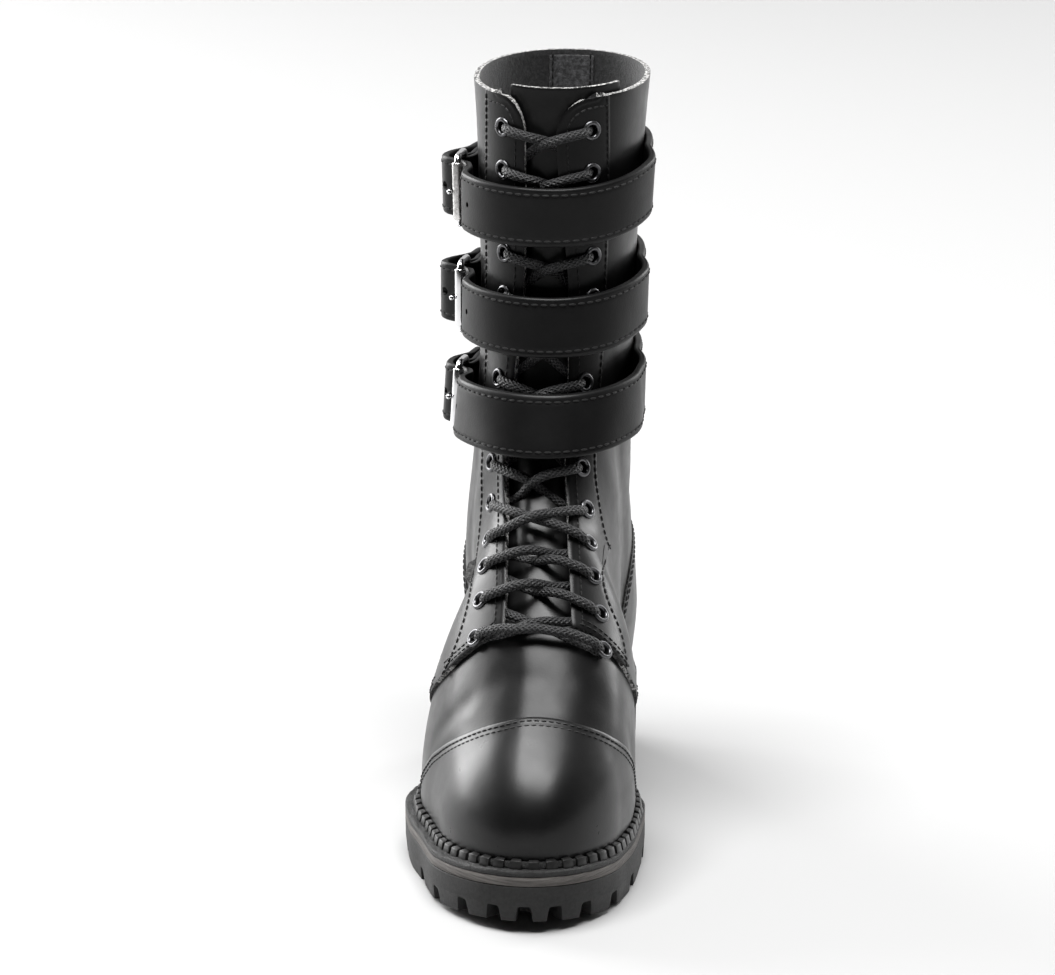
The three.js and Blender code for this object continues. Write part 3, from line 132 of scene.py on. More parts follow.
SHAFT = [
    (0.116, 0.083, 0.87, 0.39, -0.01), (0.145, 0.068, 0.89, 0.415, -0.02),
    (0.18, 0.058, 0.913, 0.455, -0.034), (0.246, 0.074, 1.03, 0.487, -0.04),
    (0.319, 0.122, 1.12, 0.482, -0.042), (0.391, 0.165, 1.17, 0.468, -0.036),
    (0.478, 0.187, 1.18, 0.448, -0.016), (0.58, 0.18, 1.155, 0.436, 0.002),
    (0.667, 0.167, 1.139, 0.433, 0.013), (0.826, 0.14, 1.122, 0.453, 0.02),
    (0.942, 0.117, 1.109, 0.48, 0.03), (1, 0.104, 1.104, 0.5, 0.033),
]
THROAT = [
    (0.2, 0.06, 0.19, -0.62, 0.585, -0.31, 0.43), (0.3, 0.06, 0.19, -0.42, 0.515, -0.3, 0.415),
    (0.33, 0.055, 0.19, -0.385, 0.465, -0.295, 0.395), (0.365, 0.043, 0.18, -0.36, 0.4, -0.28, 0.35),
    (0.435, 0, 0.173, -0.355, 0.325, -0.272, 0.265), (0.516, -0.037, 0.168, -0.365, 0.285, -0.285, 0.21),
    (0.63, -0.015, 0.146, -0.355, 0.305, -0.25, 0.215), (0.74, 0.004, 0.122, -0.355, 0.325, -0.225, 0.25),
    (0.95, -0.028, 0.088, -0.355, 0.343, -0.24, 0.245), (1.1, -0.03, 0.086, -0.355, 0.343, -0.24, 0.245),
]
QUARTER_EDGE = [
    (0, 0.475), (0.1, 0.492), (0.168, 0.55), (0.226, 0.623), (0.275, 0.679), (0.31, 0.702),
    (0.336, 0.711), (0.39, 0.787),
]
CAP_EDGE = [
    (0, 0.64), (0.1, 0.668), (0.148, 0.708), (0.19, 0.765), (0.225, 0.815), (0.245, 0.836), (0.3, 0.846),
]
COUNTER_EDGE = [
    (0, 0.34), (0.16, 0.335), (0.25, 0.31), (0.31, 0.27), (0.345, 0.2), (0.37, 0.1), (0.38, -0.1),
]
FOREFOOT_GROOVES = [0, 0.036, 0.073, 0.112, 0.154, 0.2, 0.243]
HEEL_GROOVES = [0.36, 0.4, 0.445]
CROSS_SLOTS = [0.55, 0.63, 0.71, 0.79, 0.87]
GROOVE_WIDTH = 8.5
GROOVE_LENGTH = 21.0
GROOVE_TAPER = 1.2

plan_centre = column(SOLE_PLAN, 1)
plan_half = column(SOLE_PLAN, 2)
sole_lift = column(SOLE_RISE, 1)
foot_top, foot_width, foot_round, foot_ridge = [column(FOOT, key) for key in range(1, 5)]
shaft_back, shaft_front, shaft_half, shaft_centre = [column(SHAFT, key) for key in range(1, 5)]
throat_centre = column(THROAT, 1)
throat_half = column(THROAT, 2)
facing_seams = [column(THROAT, 3), column(THROAT, 4)]
eyelet_lines = [column(THROAT, 5), column(THROAT, 6)]
quarter_end = column(QUARTER_EDGE)
cap_end = column(CAP_EDGE)
counter_end = column(COUNTER_EDGE)


# The last: foot and shaft as one signed form, negative inside.

def sole_plan(share):
    width = mix(HEEL_WIDTH, BALL_WIDTH, smooth((share - 0.25) / 0.25))
    heel = np.sqrt(np.maximum(1 - ((0.16 - share) / 0.16) ** 2, 0))
    toe = np.sqrt(np.maximum(1 - ((share - 0.852) / (1 - 0.852)) ** 2, 0))
    end = np.where(share < 0.16, heel, np.where(share > 0.852, toe, 1.0))
    return width * plan_centre(share), width * plan_half(share) * end, end


def spring_at(s):
    return TOE_SPRING * np.maximum((s / SOLE_LENGTH - 0.77) / 0.23, 0) ** 1.6


def rise_at(s):
    return mix(FOREFOOT_THICKNESS, HEEL_THICKNESS, sole_lift(s / SOLE_LENGTH)) + spring_at(s)


def feather_at(s):
    return rise_at(s) + 2 * CLEARANCE + MIDSOLE_THICKNESS


LAST_LENGTH = SOLE_LENGTH - TOE_LEDGE - HEEL_LEDGE


def last_plan(share):
    centre, half, end = sole_plan(share)
    return centre - half + LATERAL_LEDGE * end, centre + half - MEDIAL_LEDGE * end


def foot_field(x, s, z):
    widest = feather_at(s) + 13
    below = np.clip((widest - z) / 13, 0, 1)
    bulge = 2.5 * (1 - below * below)
    middle = HEEL_LEDGE + LAST_LENGTH / 2
    share = (middle + (s - middle) / (1 + bulge / (LAST_LENGTH / 2)) - HEEL_LEDGE) / LAST_LENGTH
    t = np.clip(share, 1e-6, 1 - 1e-6)
    lateral, medial = last_plan(t)
    half = np.maximum((medial - lateral) / 2 + bulge, 0.5) * foot_width(t)
    off = x - (lateral + medial) / 2
    drop = np.clip((t - 0.875) / 0.125, 0, 1)
    full = INSTEP_HEIGHT * foot_top(t) - widest
    tall = np.maximum(full * (1 - drop ** 2.4) ** (1 / 2.4), 0.5)
    power = foot_round(t) - 0.5 * smooth((t - 0.35) / 0.2) * smooth(0.5 - off / 16)
    up = np.maximum(z - widest, 0) / tall
    across = np.abs(off - BALL_WIDTH * foot_ridge(t) * smooth(up * 1.1)) / half
    high = ((across ** power + up ** power) ** (1 / power) - 1) * half
    value = np.where(z <= widest, np.abs(off) - half, high)
    return np.where((share <= 0) | (share >= 1), 50 + 500 * np.abs(share - 0.5), value)


def shaft_oval(z):
    share = z / BOOT_HEIGHT
    back = SHAFT_DEPTH * shaft_back(share)
    front = SHAFT_DEPTH * shaft_front(share)
    half = SHAFT_WIDTH * shaft_half(share)
    return (back + front) / 2, (front - back) / 2, half, SHAFT_WIDTH * shaft_centre(share)


def form(x, s, z):
    middle, depth, half, centre = shaft_oval(z)
    across = np.abs(x - centre) / half
    along = np.abs(s - middle) / depth
    shaft = ((across ** 2.15 + along ** 2.15) ** (1 / 2.15) - 1) * half
    foot = foot_field(x, s, z)
    forward = smooth((s / SOLE_LENGTH - 0.26) / 0.16)
    calm = 0.75 * smooth((np.abs(x) - 27) / 20)
    blend = mix(6, 26, forward * (1 - calm))
    near = np.maximum(blend - np.abs(foot - shaft), 0) / blend
    return np.minimum(foot, shaft) - near * near * blend / 4


def form_at(p):
    return form(p[..., 0], p[..., 1], p[..., 2])


def gradient(p):
    d = 0.4
    parts = []
    for axis in range(3):
        step = np.zeros(3)
        step[axis] = d
        parts.append(form_at(p + step) - form_at(p - step))
    return np.stack(parts, axis=-1) / (2 * d)


def unit(v):
    return v / np.maximum(np.linalg.norm(v, axis=-1, keepdims=True), 1e-9)


def normal_at(p):
    return unit(gradient(p))


def settle(p):
    """Moves points near the last onto it."""
    for _ in range(3):
        g = gradient(p)
        p = p - form_at(p)[..., None] * g / np.maximum((g * g).sum(-1, keepdims=True), 1e-6)
    return p


def cast_out(start, way):
    """First point of the last on rays from inside."""
    shape = start.shape
    start = start.reshape(-1, 3)
    way = way.reshape(-1, 3)
    far = np.full(len(start), 4.0)
    live = np.arange(len(start))
    while len(live) and far.max() < 400:
        inside = form_at(start[live] + way[live] * far[live, None]) < 0
        live = live[inside]
        far[live] += 4
    near = np.maximum(far - 4, 0)
    for _ in range(18):
        mid = (near + far) / 2
        inside = form_at(start + way * mid[:, None]) < 0
        near = np.where(inside, mid, near)
        far = np.where(inside, far, mid)
    return (start + way * near[:, None]).reshape(shape)


def cast_front(x, z):
    """First point of the last met from the front at places x, z."""
    x, z = np.broadcast_arrays(np.asarray(x, float), np.asarray(z, float))
    s = np.full(x.shape, SOLE_LENGTH * 1.1)
    outside = form(x, s, z) > 0
    while outside.any() and s.min() > 20:
        s = np.where(outside, s - 3, s)
        outside = form(x, s, z) > 0
        outside = outside & (s > 25)
    inside, out = s, s + 3
    for _ in range(16):
        mid = (inside + out) / 2
        within = form(x, mid, z) < 0
        inside = np.where(within, mid, inside)
        out = np.where(within, out, mid)
    return np.stack([x, inside, z], axis=-1)


def outline(turn, out):
    """Loop round the last (0) or the sole (1), a turn from the toe by the lateral side."""
    share = 0.5 + 0.5 * np.cos(2 * np.pi * turn)
    lateral_side = (turn - np.floor(turn)) <= 0.5
    centre, half, _ = sole_plan(share)
    lateral, medial = last_plan(share)
    inner = np.where(lateral_side, lateral, medial)
    outer = np.where(lateral_side, centre - half, centre + half)
    s = mix(HEEL_LEDGE + share * LAST_LENGTH, share * SOLE_LENGTH, out)
    return mix(inner, outer, out), s


ANKLE = 0.55


def shaft_guide(turn, front, back):
    angle = 2 * np.pi * turn
    z = BOOT_HEIGHT * mix(back, front, (1 + np.cos(angle)) / 2)
    middle, depth, half, centre = shaft_oval(z)
    return np.stack([centre - half * np.sin(angle), middle + depth * np.cos(angle), z], axis=-1)


def last_point(turn, way):
    """Point of the last at a turn round it and a share of the way from sole to collar."""
    turn, way = np.broadcast_arrays(np.asarray(turn, float), np.asarray(way, float))
    fx, fs = outline(turn, 0.0)
    feather = np.stack([fx, fs, feather_at(fs)], axis=-1)
    ankle = shaft_guide(turn, 0.507, 0.377)
    top = (BOOT_HEIGHT + 6) / BOOT_HEIGHT
    collar = shaft_guide(turn, top, top)
    middle, _, _, centre = shaft_oval(BOOT_HEIGHT)
    sole = np.array([0, SOLE_LENGTH * 0.5, FOREFOOT_THICKNESS * 2])
    ankle_centre = np.array([0, SHAFT_DEPTH * 0.7, BOOT_HEIGHT * 0.44])
    collar_centre = np.array([centre, middle, BOOT_HEIGHT + 6])
    low = (way < ANKLE)[..., None]
    t = np.where(way < ANKLE, way / ANKLE, (way - ANKLE) / (1 - ANKLE))[..., None]
    start = np.where(low, mix(sole, ankle_centre, t), mix(ankle_centre, collar_centre, t))
    guide = np.where(low, mix(feather, ankle, t), mix(ankle, collar, t))
    return cast_out(start, unit(guide - start))


# Soft creases where the boot bends, listed one by one: two ends (x, s, z), depth and width.

CREASES = [
    ((-34, 128, 176), (-44, 100, 150), 0.9, 7), ((-36, 140, 158), (-46, 112, 128), 0.8, 8),
    ((-34, 134, 168), (-45, 106, 140), -0.6, 6), ((-38, 160, 132), (-46, 136, 102), 0.6, 8),
    ((34, 122, 178), (41, 98, 156), 0.9, 7), ((36, 138, 158), (42, 110, 132), 0.8, 8),
    ((35, 130, 168), (42, 104, 144), -0.6, 6), ((40, 158, 128), (44, 136, 104), 0.6, 8),
    ((-30, 232, 86), (-50, 216, 60), 0.7, 6), ((30, 234, 86), (48, 216, 62), 0.7, 6),
    ((-28, 240, 84), (-48, 224, 58), -0.4, 5), ((-12, 236, 98), (18, 238, 96), 0.6, 7),
    ((-34, 70, 232), (-36, 100, 226), 0.5, 9), ((36, 70, 236), (34, 100, 228), 0.5, 9),
    ((-30, 40, 150), (-36, 70, 142), 0.7, 8), ((31, 40, 150), (36, 70, 142), 0.7, 8),
]


def creased(p, normal):
    """The last's points with the soft creases pressed in."""
    push = np.zeros(p.shape[:-1])
    for a, b, depth, width in CREASES:
        a, b = np.array(a, float), np.array(b, float)
        way = b - a
        t = np.clip(((p - a) @ way) / (way @ way), 0, 1)
        gap = np.linalg.norm(p - (a + t[..., None] * way), axis=-1)
        push -= depth * np.exp(-(gap / width) ** 2)
    return p + normal * push[..., None]


def to_boot(p):
    """From across, along, up to across, back, up."""
    return np.stack([p[..., 0], SOLE_LENGTH / 2 - p[..., 1], p[..., 2]], axis=-1)


def metres(p):
    return (np.asarray(p, float) + np.array([SIDE_SHIFT, 0, 0])) * 0.001


def turned(v):
    """A direction on the last, as a direction in the scene."""
    return v * np.array([1, -1, 1])


# Making and finishing pieces.

def deselect():
    for item in list(bpy.context.selected_objects):
        item.select_set(False)


def activate(piece):
    deselect()
    piece.select_set(True)
    bpy.context.view_layer.objects.active = piece


def edit(piece, *steps):
    """Runs edit-mode steps on a whole piece."""
    activate(piece)
    bpy.ops.object.mode_set(mode="EDIT")
    bpy.ops.mesh.select_all(action="SELECT")
    for step in steps:
        step()
    bpy.ops.object.mode_set(mode="OBJECT")


def merge_doubles():
    bpy.ops.mesh.remove_doubles(threshold=0.00001)


def face_outward():
    bpy.ops.mesh.normals_make_consistent(inside=False)


def apply(piece, kind, **settings):
    activate(piece)
    modifier = piece.modifiers.new(kind.title(), kind)
    for key, value in settings.items():
        setattr(modifier, key, value)
    bpy.ops.object.modifier_apply(modifier=modifier.name)


def shade(piece, angle=35):
    activate(piece)
    bpy.ops.object.shade_smooth_by_angle(angle=math.radians(angle))


def lay_grid(name, points, outward=None):
    """Grid primitive whose corners are laid on points in millimetres, rows by columns."""
    points = np.asarray(points, float)
    if outward is not None:
        r, c = points.shape[0] // 2, points.shape[1] // 2
        face = np.cross(points[r, c] - points[r, c - 1], points[r, c] - points[r - 1, c])
        if face @ outward[r, c] < 0:
            points = points[:, ::-1]
    rows, columns = points.shape[:2]
    deselect()
    bpy.ops.mesh.primitive_grid_add(x_subdivisions=columns - 1, y_subdivisions=rows - 1, size=1)
    piece = bpy.context.active_object
    piece.name = name
    piece.data.name = name
    piece.data.vertices.foreach_set("co", metres(points).reshape(-1))
    piece.data.update()
    return piece


def closed_grid(name, points, loop_rows=False, caps=False):
    """Grid laid round on itself, joined where its sides meet and filled at its ends."""
    points = np.asarray(points, float)
    points = np.concatenate([points, points[:, :1]], axis=1)
    if loop_rows:
        points = np.concatenate([points, points[:1]], axis=0)
    piece = lay_grid(name, points)
    steps = [merge_doubles]
    if caps:
        def fill():
            bpy.ops.mesh.select_all(action="DESELECT")
            bpy.ops.mesh.select_non_manifold(extend=False, use_multi_face=False, use_non_contiguous=False)
            bpy.ops.mesh.edge_face_add()
            bpy.ops.mesh.select_all(action="SELECT")
        steps.append(fill)
    steps.append(face_outward)
    edit(piece, *steps)
    return piece


def thicken(piece, thickness, materials, round_edge=0.35):
    """Gives a leather sheet its thickness, with an inner face and a cut edge of their own."""
    for item in materials:
        piece.data.materials.append(item)
    apply(piece, "SOLIDIFY", thickness=thickness * 0.001, offset=-1, use_even_offset=False,
          material_offset=1, material_offset_rim=2)
    apply(piece, "BEVEL", width=round_edge * 0.001, segments=2, limit_method="ANGLE",
          angle_limit=math.radians(50))
    shade(piece, 50)


def finish(piece, material, nodes, smooth_angle=None):
    if material is not None:
        piece.data.materials.clear()
        piece.data.materials.append(material)
    if smooth_angle is not None:
        shade(piece, smooth_angle)
    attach(piece, "root")
    if nodes:
        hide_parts(*nodes)
    return piece


def cut(piece, cutter, kind="DIFFERENCE"):
    apply(piece, "BOOLEAN", object=cutter, operation=kind, solver="EXACT")
    bpy.data.objects.remove(cutter, do_unlink=True)


def resample(line, step, closed=False):
    """Points a step apart along a line."""
    line = np.asarray(line, float)
    if closed:
        line = np.concatenate([line, line[:1]])
    lengths = np.linalg.norm(np.diff(line, axis=0), axis=1)
    along = np.concatenate([[0], np.cumsum(lengths)])
    count = max(int(round(along[-1] / step)), 2)
    want = np.linspace(0, along[-1], count + 1)
    if closed:
        want = want[:-1]
    return np.stack([np.interp(want, along, line[:, k]) for k in range(line.shape[1])], axis=-1)


def softened(line, window, times=1):
    """A line with its corners eased, its ends kept."""
    line = np.asarray(line, float)
    for _ in range(times):
        padded = np.concatenate([np.repeat(line[:1], window, 0), line, np.repeat(line[-1:], window, 0)])
        kernel = np.ones(2 * window + 1) / (2 * window + 1)
        line = np.stack([np.convolve(padded[:, k], kernel, "valid") for k in range(line.shape[1])], axis=-1)
    return line


def tangents(line, closed=False):
    if closed:
        return unit(np.roll(line, -1, 0) - np.roll(line, 1, 0))
    return unit(np.gradient(line, axis=0))


def joined_copies(name, model, origins, x_ways, z_ways, scale=(1, 1, 1)):
    """One mesh of copies of a small model, each with its X along a way and its Z up a normal."""
    count = len(model.data.vertices)
    shape = np.empty(count * 3)
    model.data.vertices.foreach_get("co", shape)
    shape = shape.reshape(-1, 3) * np.array(scale) * 1000
    faces = [tuple(face.vertices) for face in model.data.polygons]
    z = unit(z_ways)
    y = unit(np.cross(z, x_ways))
    x = np.cross(y, z)
    axes = np.stack([x, y, z], axis=1)
    places = np.einsum("vk,nkj->nvj", shape, axes) + origins[:, None, :]
    all_faces = [tuple(i + n * count for i in face) for n in range(len(origins)) for face in faces]
    mesh = bpy.data.meshes.new(name)
    mesh.from_pydata(metres(places).reshape(-1, 3), [], all_faces)
    piece = bpy.data.objects.new(name, mesh)
    bpy.context.scene.collection.objects.link(piece)
    shade(piece, 60)
    return piece


def beside(line, distance, side):
    """A line on the last, moved sideways over it by a distance."""
    line = resample(line, 1.0)
    across = -unit(np.cross(normal_at(line), tangents(line))) * side
    moved = settle(line + across * distance)
    return softened(moved, 2)


def gap_to(points, line):
    """Distance from each point to the nearest place of a line."""
    line = resample(line, 0.8)
    flat = points.reshape(-1, 3)
    best = np.full(len(flat), 1e9)
    for start in range(0, len(line), 64):
        part = line[start:start + 64]
        gap = ((flat[:, None, :] - part[None]) ** 2).sum(-1).min(1)
        best = np.minimum(best, gap)
    return np.sqrt(best).reshape(points.shape[:-1])


# Materials.

def new_material(name):
    material = bpy.data.materials.new(name)
    material.use_nodes = True
    tree = material.node_tree
    shader = tree.nodes["Principled BSDF"]
    place = tree.nodes.new("ShaderNodeTexCoord")
    return material, tree, shader, place


def noise(tree, place, scale, detail=4, roughness=0.55, stretch=None, source="Object"):
    node = tree.nodes.new("ShaderNodeTexNoise")
    node.inputs["Scale"].default_value = scale
    node.inputs["Detail"].default_value = detail
    node.inputs["Roughness"].default_value = roughness
    if stretch is None:
        tree.links.new(place.outputs[source], node.inputs["Vector"])
    else:
        mapping = tree.nodes.new("ShaderNodeMapping")
        mapping.inputs["Scale"].default_value = stretch
        tree.links.new(place.outputs[source], mapping.inputs["Vector"])
        tree.links.new(mapping.outputs["Vector"], node.inputs["Vector"])
    return node


def spread(tree, source, low, high, to_low, to_high):
    node = tree.nodes.new("ShaderNodeMapRange")
    node.inputs["From Min"].default_value = low
    node.inputs["From Max"].default_value = high
    node.inputs["To Min"].default_value = to_low
    node.inputs["To Max"].default_value = to_high
    tree.links.new(source, node.inputs["Value"])
    return node.outputs["Result"]


def colours(tree, source, stops):
    node = tree.nodes.new("ShaderNodeValToRGB")
    ramp = node.color_ramp
    while len(ramp.elements) < len(stops):
        ramp.elements.new(0.5)
    for element, (at, colour) in zip(ramp.elements, stops):
        element.position = at
        element.color = (*colour, 1)
    tree.links.new(source, node.inputs["Fac"])
    return node.outputs["Color"]


def tint(tree, shader, pattern, *stops):
    """Base colour by a noise, between the tones of two stops."""
    tree.links.new(colours(tree, pattern.outputs["Fac"], list(stops)), shader.inputs["Base Color"])


def bumps(tree, shader, layers):
    """Bump layers one over another: (height, strength, depth in millimetres)."""
    before = None
    for height, strength, depth in layers:
        node = tree.nodes.new("ShaderNodeBump")
        node.inputs["Strength"].default_value = strength
        node.inputs["Distance"].default_value = depth * 0.001
        tree.links.new(height, node.inputs["Height"])
        if before is not None:
            tree.links.new(before, node.inputs["Normal"])
        before = node.outputs["Normal"]
    tree.links.new(before, shader.inputs["Normal"])


def leather(name, tone, rough, coat, pore=0.5, wave=0.5):
    material, tree, shader, place = new_material(name)
    cloud = noise(tree, place, 26, 5, 0.6)
    dark = tuple(tone * k for k in (0.75, 0.75, 0.78))
    light = tuple(tone * k for k in (1.35, 1.33, 1.36))
    tint(tree, shader, cloud, (0.35, dark), (0.7, light))
    patches = noise(tree, place, 70, 4, 0.6)
    tree.links.new(spread(tree, patches.outputs["Fac"], 0.3, 0.7, rough - 0.05, rough + 0.07),
                   shader.inputs["Roughness"])
    shader.inputs["Coat Weight"].default_value = coat
    shader.inputs["Coat Roughness"].default_value = 0.34
    shader.inputs["Specular IOR Level"].default_value = 0.15
    grain = noise(tree, place, 1500, 3, 0.6)
    cells = tree.nodes.new("ShaderNodeTexVoronoi")
    cells.inputs["Scale"].default_value = 900
    tree.links.new(place.outputs["Object"], cells.inputs["Vector"])
    waves = noise(tree, place, 34, 3, 0.5)
    bumps(tree, shader, [
        (waves.outputs["Fac"], wave, 1.6),
        (cells.outputs["Distance"], pore, 0.06),
        (grain.outputs["Fac"], pore, 0.05),
    ])
    return material


def suede(name, tone):
    material, tree, shader, place = new_material(name)
    nap = noise(tree, place, 520, 6, 0.75)
    dark = tuple(tone * k for k in (0.45, 0.45, 0.47))
    light = tuple(tone * k for k in (2.6, 2.6, 2.7))
    tint(tree, shader, nap, (0.42, dark), (0.68, light))
    shader.inputs["Roughness"].default_value = 0.95
    shader.inputs["Sheen Weight"].default_value = 0.25
    shader.inputs["Sheen Roughness"].default_value = 0.5
    bumps(tree, shader, [(nap.outputs["Fac"], 0.9, 0.5)])
    return material


def cut_edge(name, low, high):
    """Raw cut edge of leather: dark with pale fibres."""
    material, tree, shader, place = new_material(name)
    fibre = noise(tree, place, 620, 6, 0.8)
    dark = (low, low, low * 1.02)
    light = (high, high * 0.99, high * 0.97)
    tint(tree, shader, fibre, (0.46, dark), (0.57, light))
    shader.inputs["Roughness"].default_value = 0.9
    bumps(tree, shader, [(fibre.outputs["Fac"], 0.9, 0.4)])
    return material


def thread(name, tone):
    material, tree, shader, place = new_material(name)
    twist = noise(tree, place, 1800, 3, 0.6)
    dark = (tone * 0.6, tone * 0.6, tone * 0.62)
    light = (tone * 1.8, tone * 1.8, tone * 1.85)
    tint(tree, shader, twist, (0.35, dark), (0.7, light))
    shader.inputs["Roughness"].default_value = 0.6
    bumps(tree, shader, [(twist.outputs["Fac"], 0.6, 0.1)])
    return material


def maths(tree, kind, a, b=None):
    node = tree.nodes.new("ShaderNodeMath")
    node.operation = kind
    for socket, value in zip(node.inputs, (a, b)):
        if isinstance(value, (int, float)):
            socket.default_value = value
        elif value is not None:
            tree.links.new(value, socket)
    return node.outputs["Value"]


def braid(name, length):
    """Round braided lace: strands wound both ways, over and under each other, laid on the cord's own map. Its
    colour follows the strand height: painted shade in the gaps between strands and a lighter painted
    highlight on the strand crowns, with fibre noise for real tone variation.
    """
    material, tree, shader, place = new_material(name)
    parts = tree.nodes.new("ShaderNodeSeparateXYZ")
    tree.links.new(place.outputs["UV"], parts.inputs["Vector"])
    around = maths(tree, "MULTIPLY", parts.outputs["X"], 2 * math.pi * BRAID_STRANDS)
    along = maths(tree, "MULTIPLY", parts.outputs["Y"], 2 * math.pi * length / BRAID_PITCH)
    one = maths(tree, "COSINE", maths(tree, "ADD", around, along))
    two = maths(tree, "COSINE", maths(tree, "SUBTRACT", around, along))
    height = maths(tree, "MAXIMUM", one, two)
    fibre = noise(tree, place, 2600, 3, 0.7)
    # Painted shade and highlight: the gaps between strands are darkened and the strand crowns lightened by
    # strand height, times fibre noise for the thread's own tone.
    gap_shade_and_fibre = maths(tree, "MULTIPLY", spread(tree, height, -0.4, 1.0, 0.0, 1.0),
                  spread(tree, fibre.outputs["Fac"], 0.35, 0.7, 0.35, 1.25))
    colour = colours(tree, gap_shade_and_fibre, [(0.15, (0.0025, 0.0025, 0.003)), (0.6, (0.012, 0.012, 0.013)),
                                   (1.0, (0.07, 0.07, 0.072))])
    tree.links.new(colour, shader.inputs["Base Color"])
    shader.inputs["Roughness"].default_value = 0.55
    bumps(tree, shader, [(height, 1.0, 0.3), (fibre.outputs["Fac"], 0.5, 0.1)])
    return material


def metal(name, tone, rough, wear=0.0):
    material, tree, shader, place = new_material(name)
    shader.inputs["Metallic"].default_value = 1.0
    spots = noise(tree, place, 420, 6, 0.75)
    worn = tuple(k * (1 - 0.8 * wear) for k in tone)
    colour = colours(tree, spots.outputs["Fac"], [(0.38, worn), (0.55, tone)])
    tree.links.new(colour, shader.inputs["Base Color"])
    haze = noise(tree, place, 130, 5, 0.7)
    tree.links.new(spread(tree, haze.outputs["Fac"], 0.3, 0.7, rough, rough + 0.1 + 0.3 * wear),
                   shader.inputs["Roughness"])
    bumps(tree, shader, [(spots.outputs["Fac"], 0.15 + 0.5 * wear, 0.05 + 0.1 * wear)])
    return material


def rubber(name, tone, rough, crumb, depth):
    material, tree, shader, place = new_material(name)
    grit = noise(tree, place, 650, 6, 0.75)
    dust = noise(tree, place, 60, 4, 0.6)
    dark = (tone * 0.7, tone * 0.7, tone * 0.7)
    light = (tone * 1.5, tone * 1.47, tone * 1.45)
    tint(tree, shader, dust, (0.35, dark), (0.7, light))
    tree.links.new(spread(tree, grit.outputs["Fac"], 0.3, 0.7, rough - 0.12, rough + 0.1),
                   shader.inputs["Roughness"])
    bumps(tree, shader, [(dust.outputs["Fac"], 0.3, 0.6), (grit.outputs["Fac"], crumb, depth)])
    return material


def fibre_board(name):
    """Grey-brown leather board of the midsole, cut and sanded along its edge."""
    material, tree, shader, place = new_material(name)
    layers = noise(tree, place, 60, 6, 0.75, stretch=(1, 1, 22))
    grit = noise(tree, place, 900, 5, 0.75)
    colour = colours(tree, layers.outputs["Fac"],
                     [(0.32, (0.035, 0.031, 0.029)), (0.5, (0.1, 0.092, 0.086)), (0.7, (0.19, 0.178, 0.168))])
    tree.links.new(colour, shader.inputs["Base Color"])
    shader.inputs["Roughness"].default_value = 0.75
    bumps(tree, shader, [(layers.outputs["Fac"], 0.6, 0.5), (grit.outputs["Fac"], 0.6, 0.15)])
    return material


UPPER_LEATHER = leather("smooth black leather", 0.0045, 0.34, 0.12, pore=0.3, wave=0.22)
CAP_LEATHER = leather("polished cap leather", 0.0045, 0.32, 0.3, pore=0.25, wave=0.1)
TONGUE_LEATHER = leather("soft tongue leather", 0.004, 0.32, 0.2, pore=0.35, wave=0.6)
STRAP_LEATHER = leather("strap leather", 0.005, 0.42, 0.12, pore=0.45, wave=0.2)
SUEDE = suede("suede inside", 0.012)
STRIP_SUEDE = suede("suede strip", 0.045)
PALE_EDGE = cut_edge("pale cut edge", 0.015, 0.6)
DARK_EDGE = cut_edge("dark cut edge", 0.008, 0.09)
THREAD = thread("black thread", 0.003)
GUNMETAL = metal("gunmetal", (0.13, 0.13, 0.135), 0.24, 0.25)
CHROME = metal("bright chrome", (0.86, 0.86, 0.87), 0.08)
WORN_CHROME = metal("worn chrome", (0.74, 0.73, 0.72), 0.16, 0.55)
RUBBER = rubber("matte black rubber", 0.0125, 0.72, 0.4, 0.15)
RIB_RUBBER = rubber("shiny rib rubber", 0.013, 0.38, 0.25, 0.08)
LEDGE_RUBBER = rubber("rough ledge rubber", 0.0105, 0.62, 1.0, 0.9)
BOARD = fibre_board("midsole board")
INSOLE = leather("insole leather", 0.02, 0.6, 0.0, pore=0.5, wave=0.4)


# Lookup of the whole last, used to find where panel edges run.

TURNS = np.linspace(0, 0.5, 241)
SHARES = np.linspace(0, 1, 241)


def top_ways(turn):
    """Share of the way at which each turn reaches the collar's edge."""
    ways = np.linspace(0.8, 1, 21)
    heights = last_point(turn[:, None], ways[None, :])[..., 2]
    return np.array([np.interp(BOOT_HEIGHT, row, ways) for row in heights])


def side_turn(side, turn):
    return turn if side == 0 else 1 - turn


side_tops = [top_ways(side_turn(side, TURNS)) for side in (0, 1)]
side_lookup = []
for side in (0, 1):
    ways = SHARES[:, None] * side_tops[side][None, :]
    side_lookup.append(last_point(side_turn(side, TURNS)[None, :], ways))


def on_last(side, turn, share):
    """Point of the last at a turn on one side and a share of the height to the collar's edge."""
    way = share * np.interp(turn, TURNS, side_tops[side])
    return last_point(side_turn(side, turn), way)


def first_inside(values):
    """For each row of a lookup, the turn behind which values stay above zero."""
    turns = np.full(len(values), 0.5)
    for i, row in enumerate(values):
        outside = np.nonzero(row <= 0)[0]
        if len(outside) == 0:
            turns[i] = 0
        elif outside[-1] + 1 < len(row):
            k = outside[-1]
            turns[i] = mix(TURNS[k], TURNS[k + 1], -row[k] / (row[k + 1] - row[k]))
    return turns


def seam_x(side, z):
    return SHAFT_WIDTH * facing_seams[side](z / BOOT_HEIGHT)


CORNERS = [(12, 18), (17, 17)]


def throat_x(side, z):
    """Edge of the throat on one side, rounded outward at the top corner."""
    share = z / BOOT_HEIGHT
    sign = -1 if side == 0 else 1
    wide, tall = CORNERS[side]
    rise = np.clip((z - (BOOT_HEIGHT - tall)) / tall, 0, 1)
    corner = wide * (1 - np.sqrt(np.maximum(1 - rise ** 2, 0)))
    return SHAFT_WIDTH * throat_centre(share) + sign * (SHAFT_WIDTH * throat_half(share) + corner)


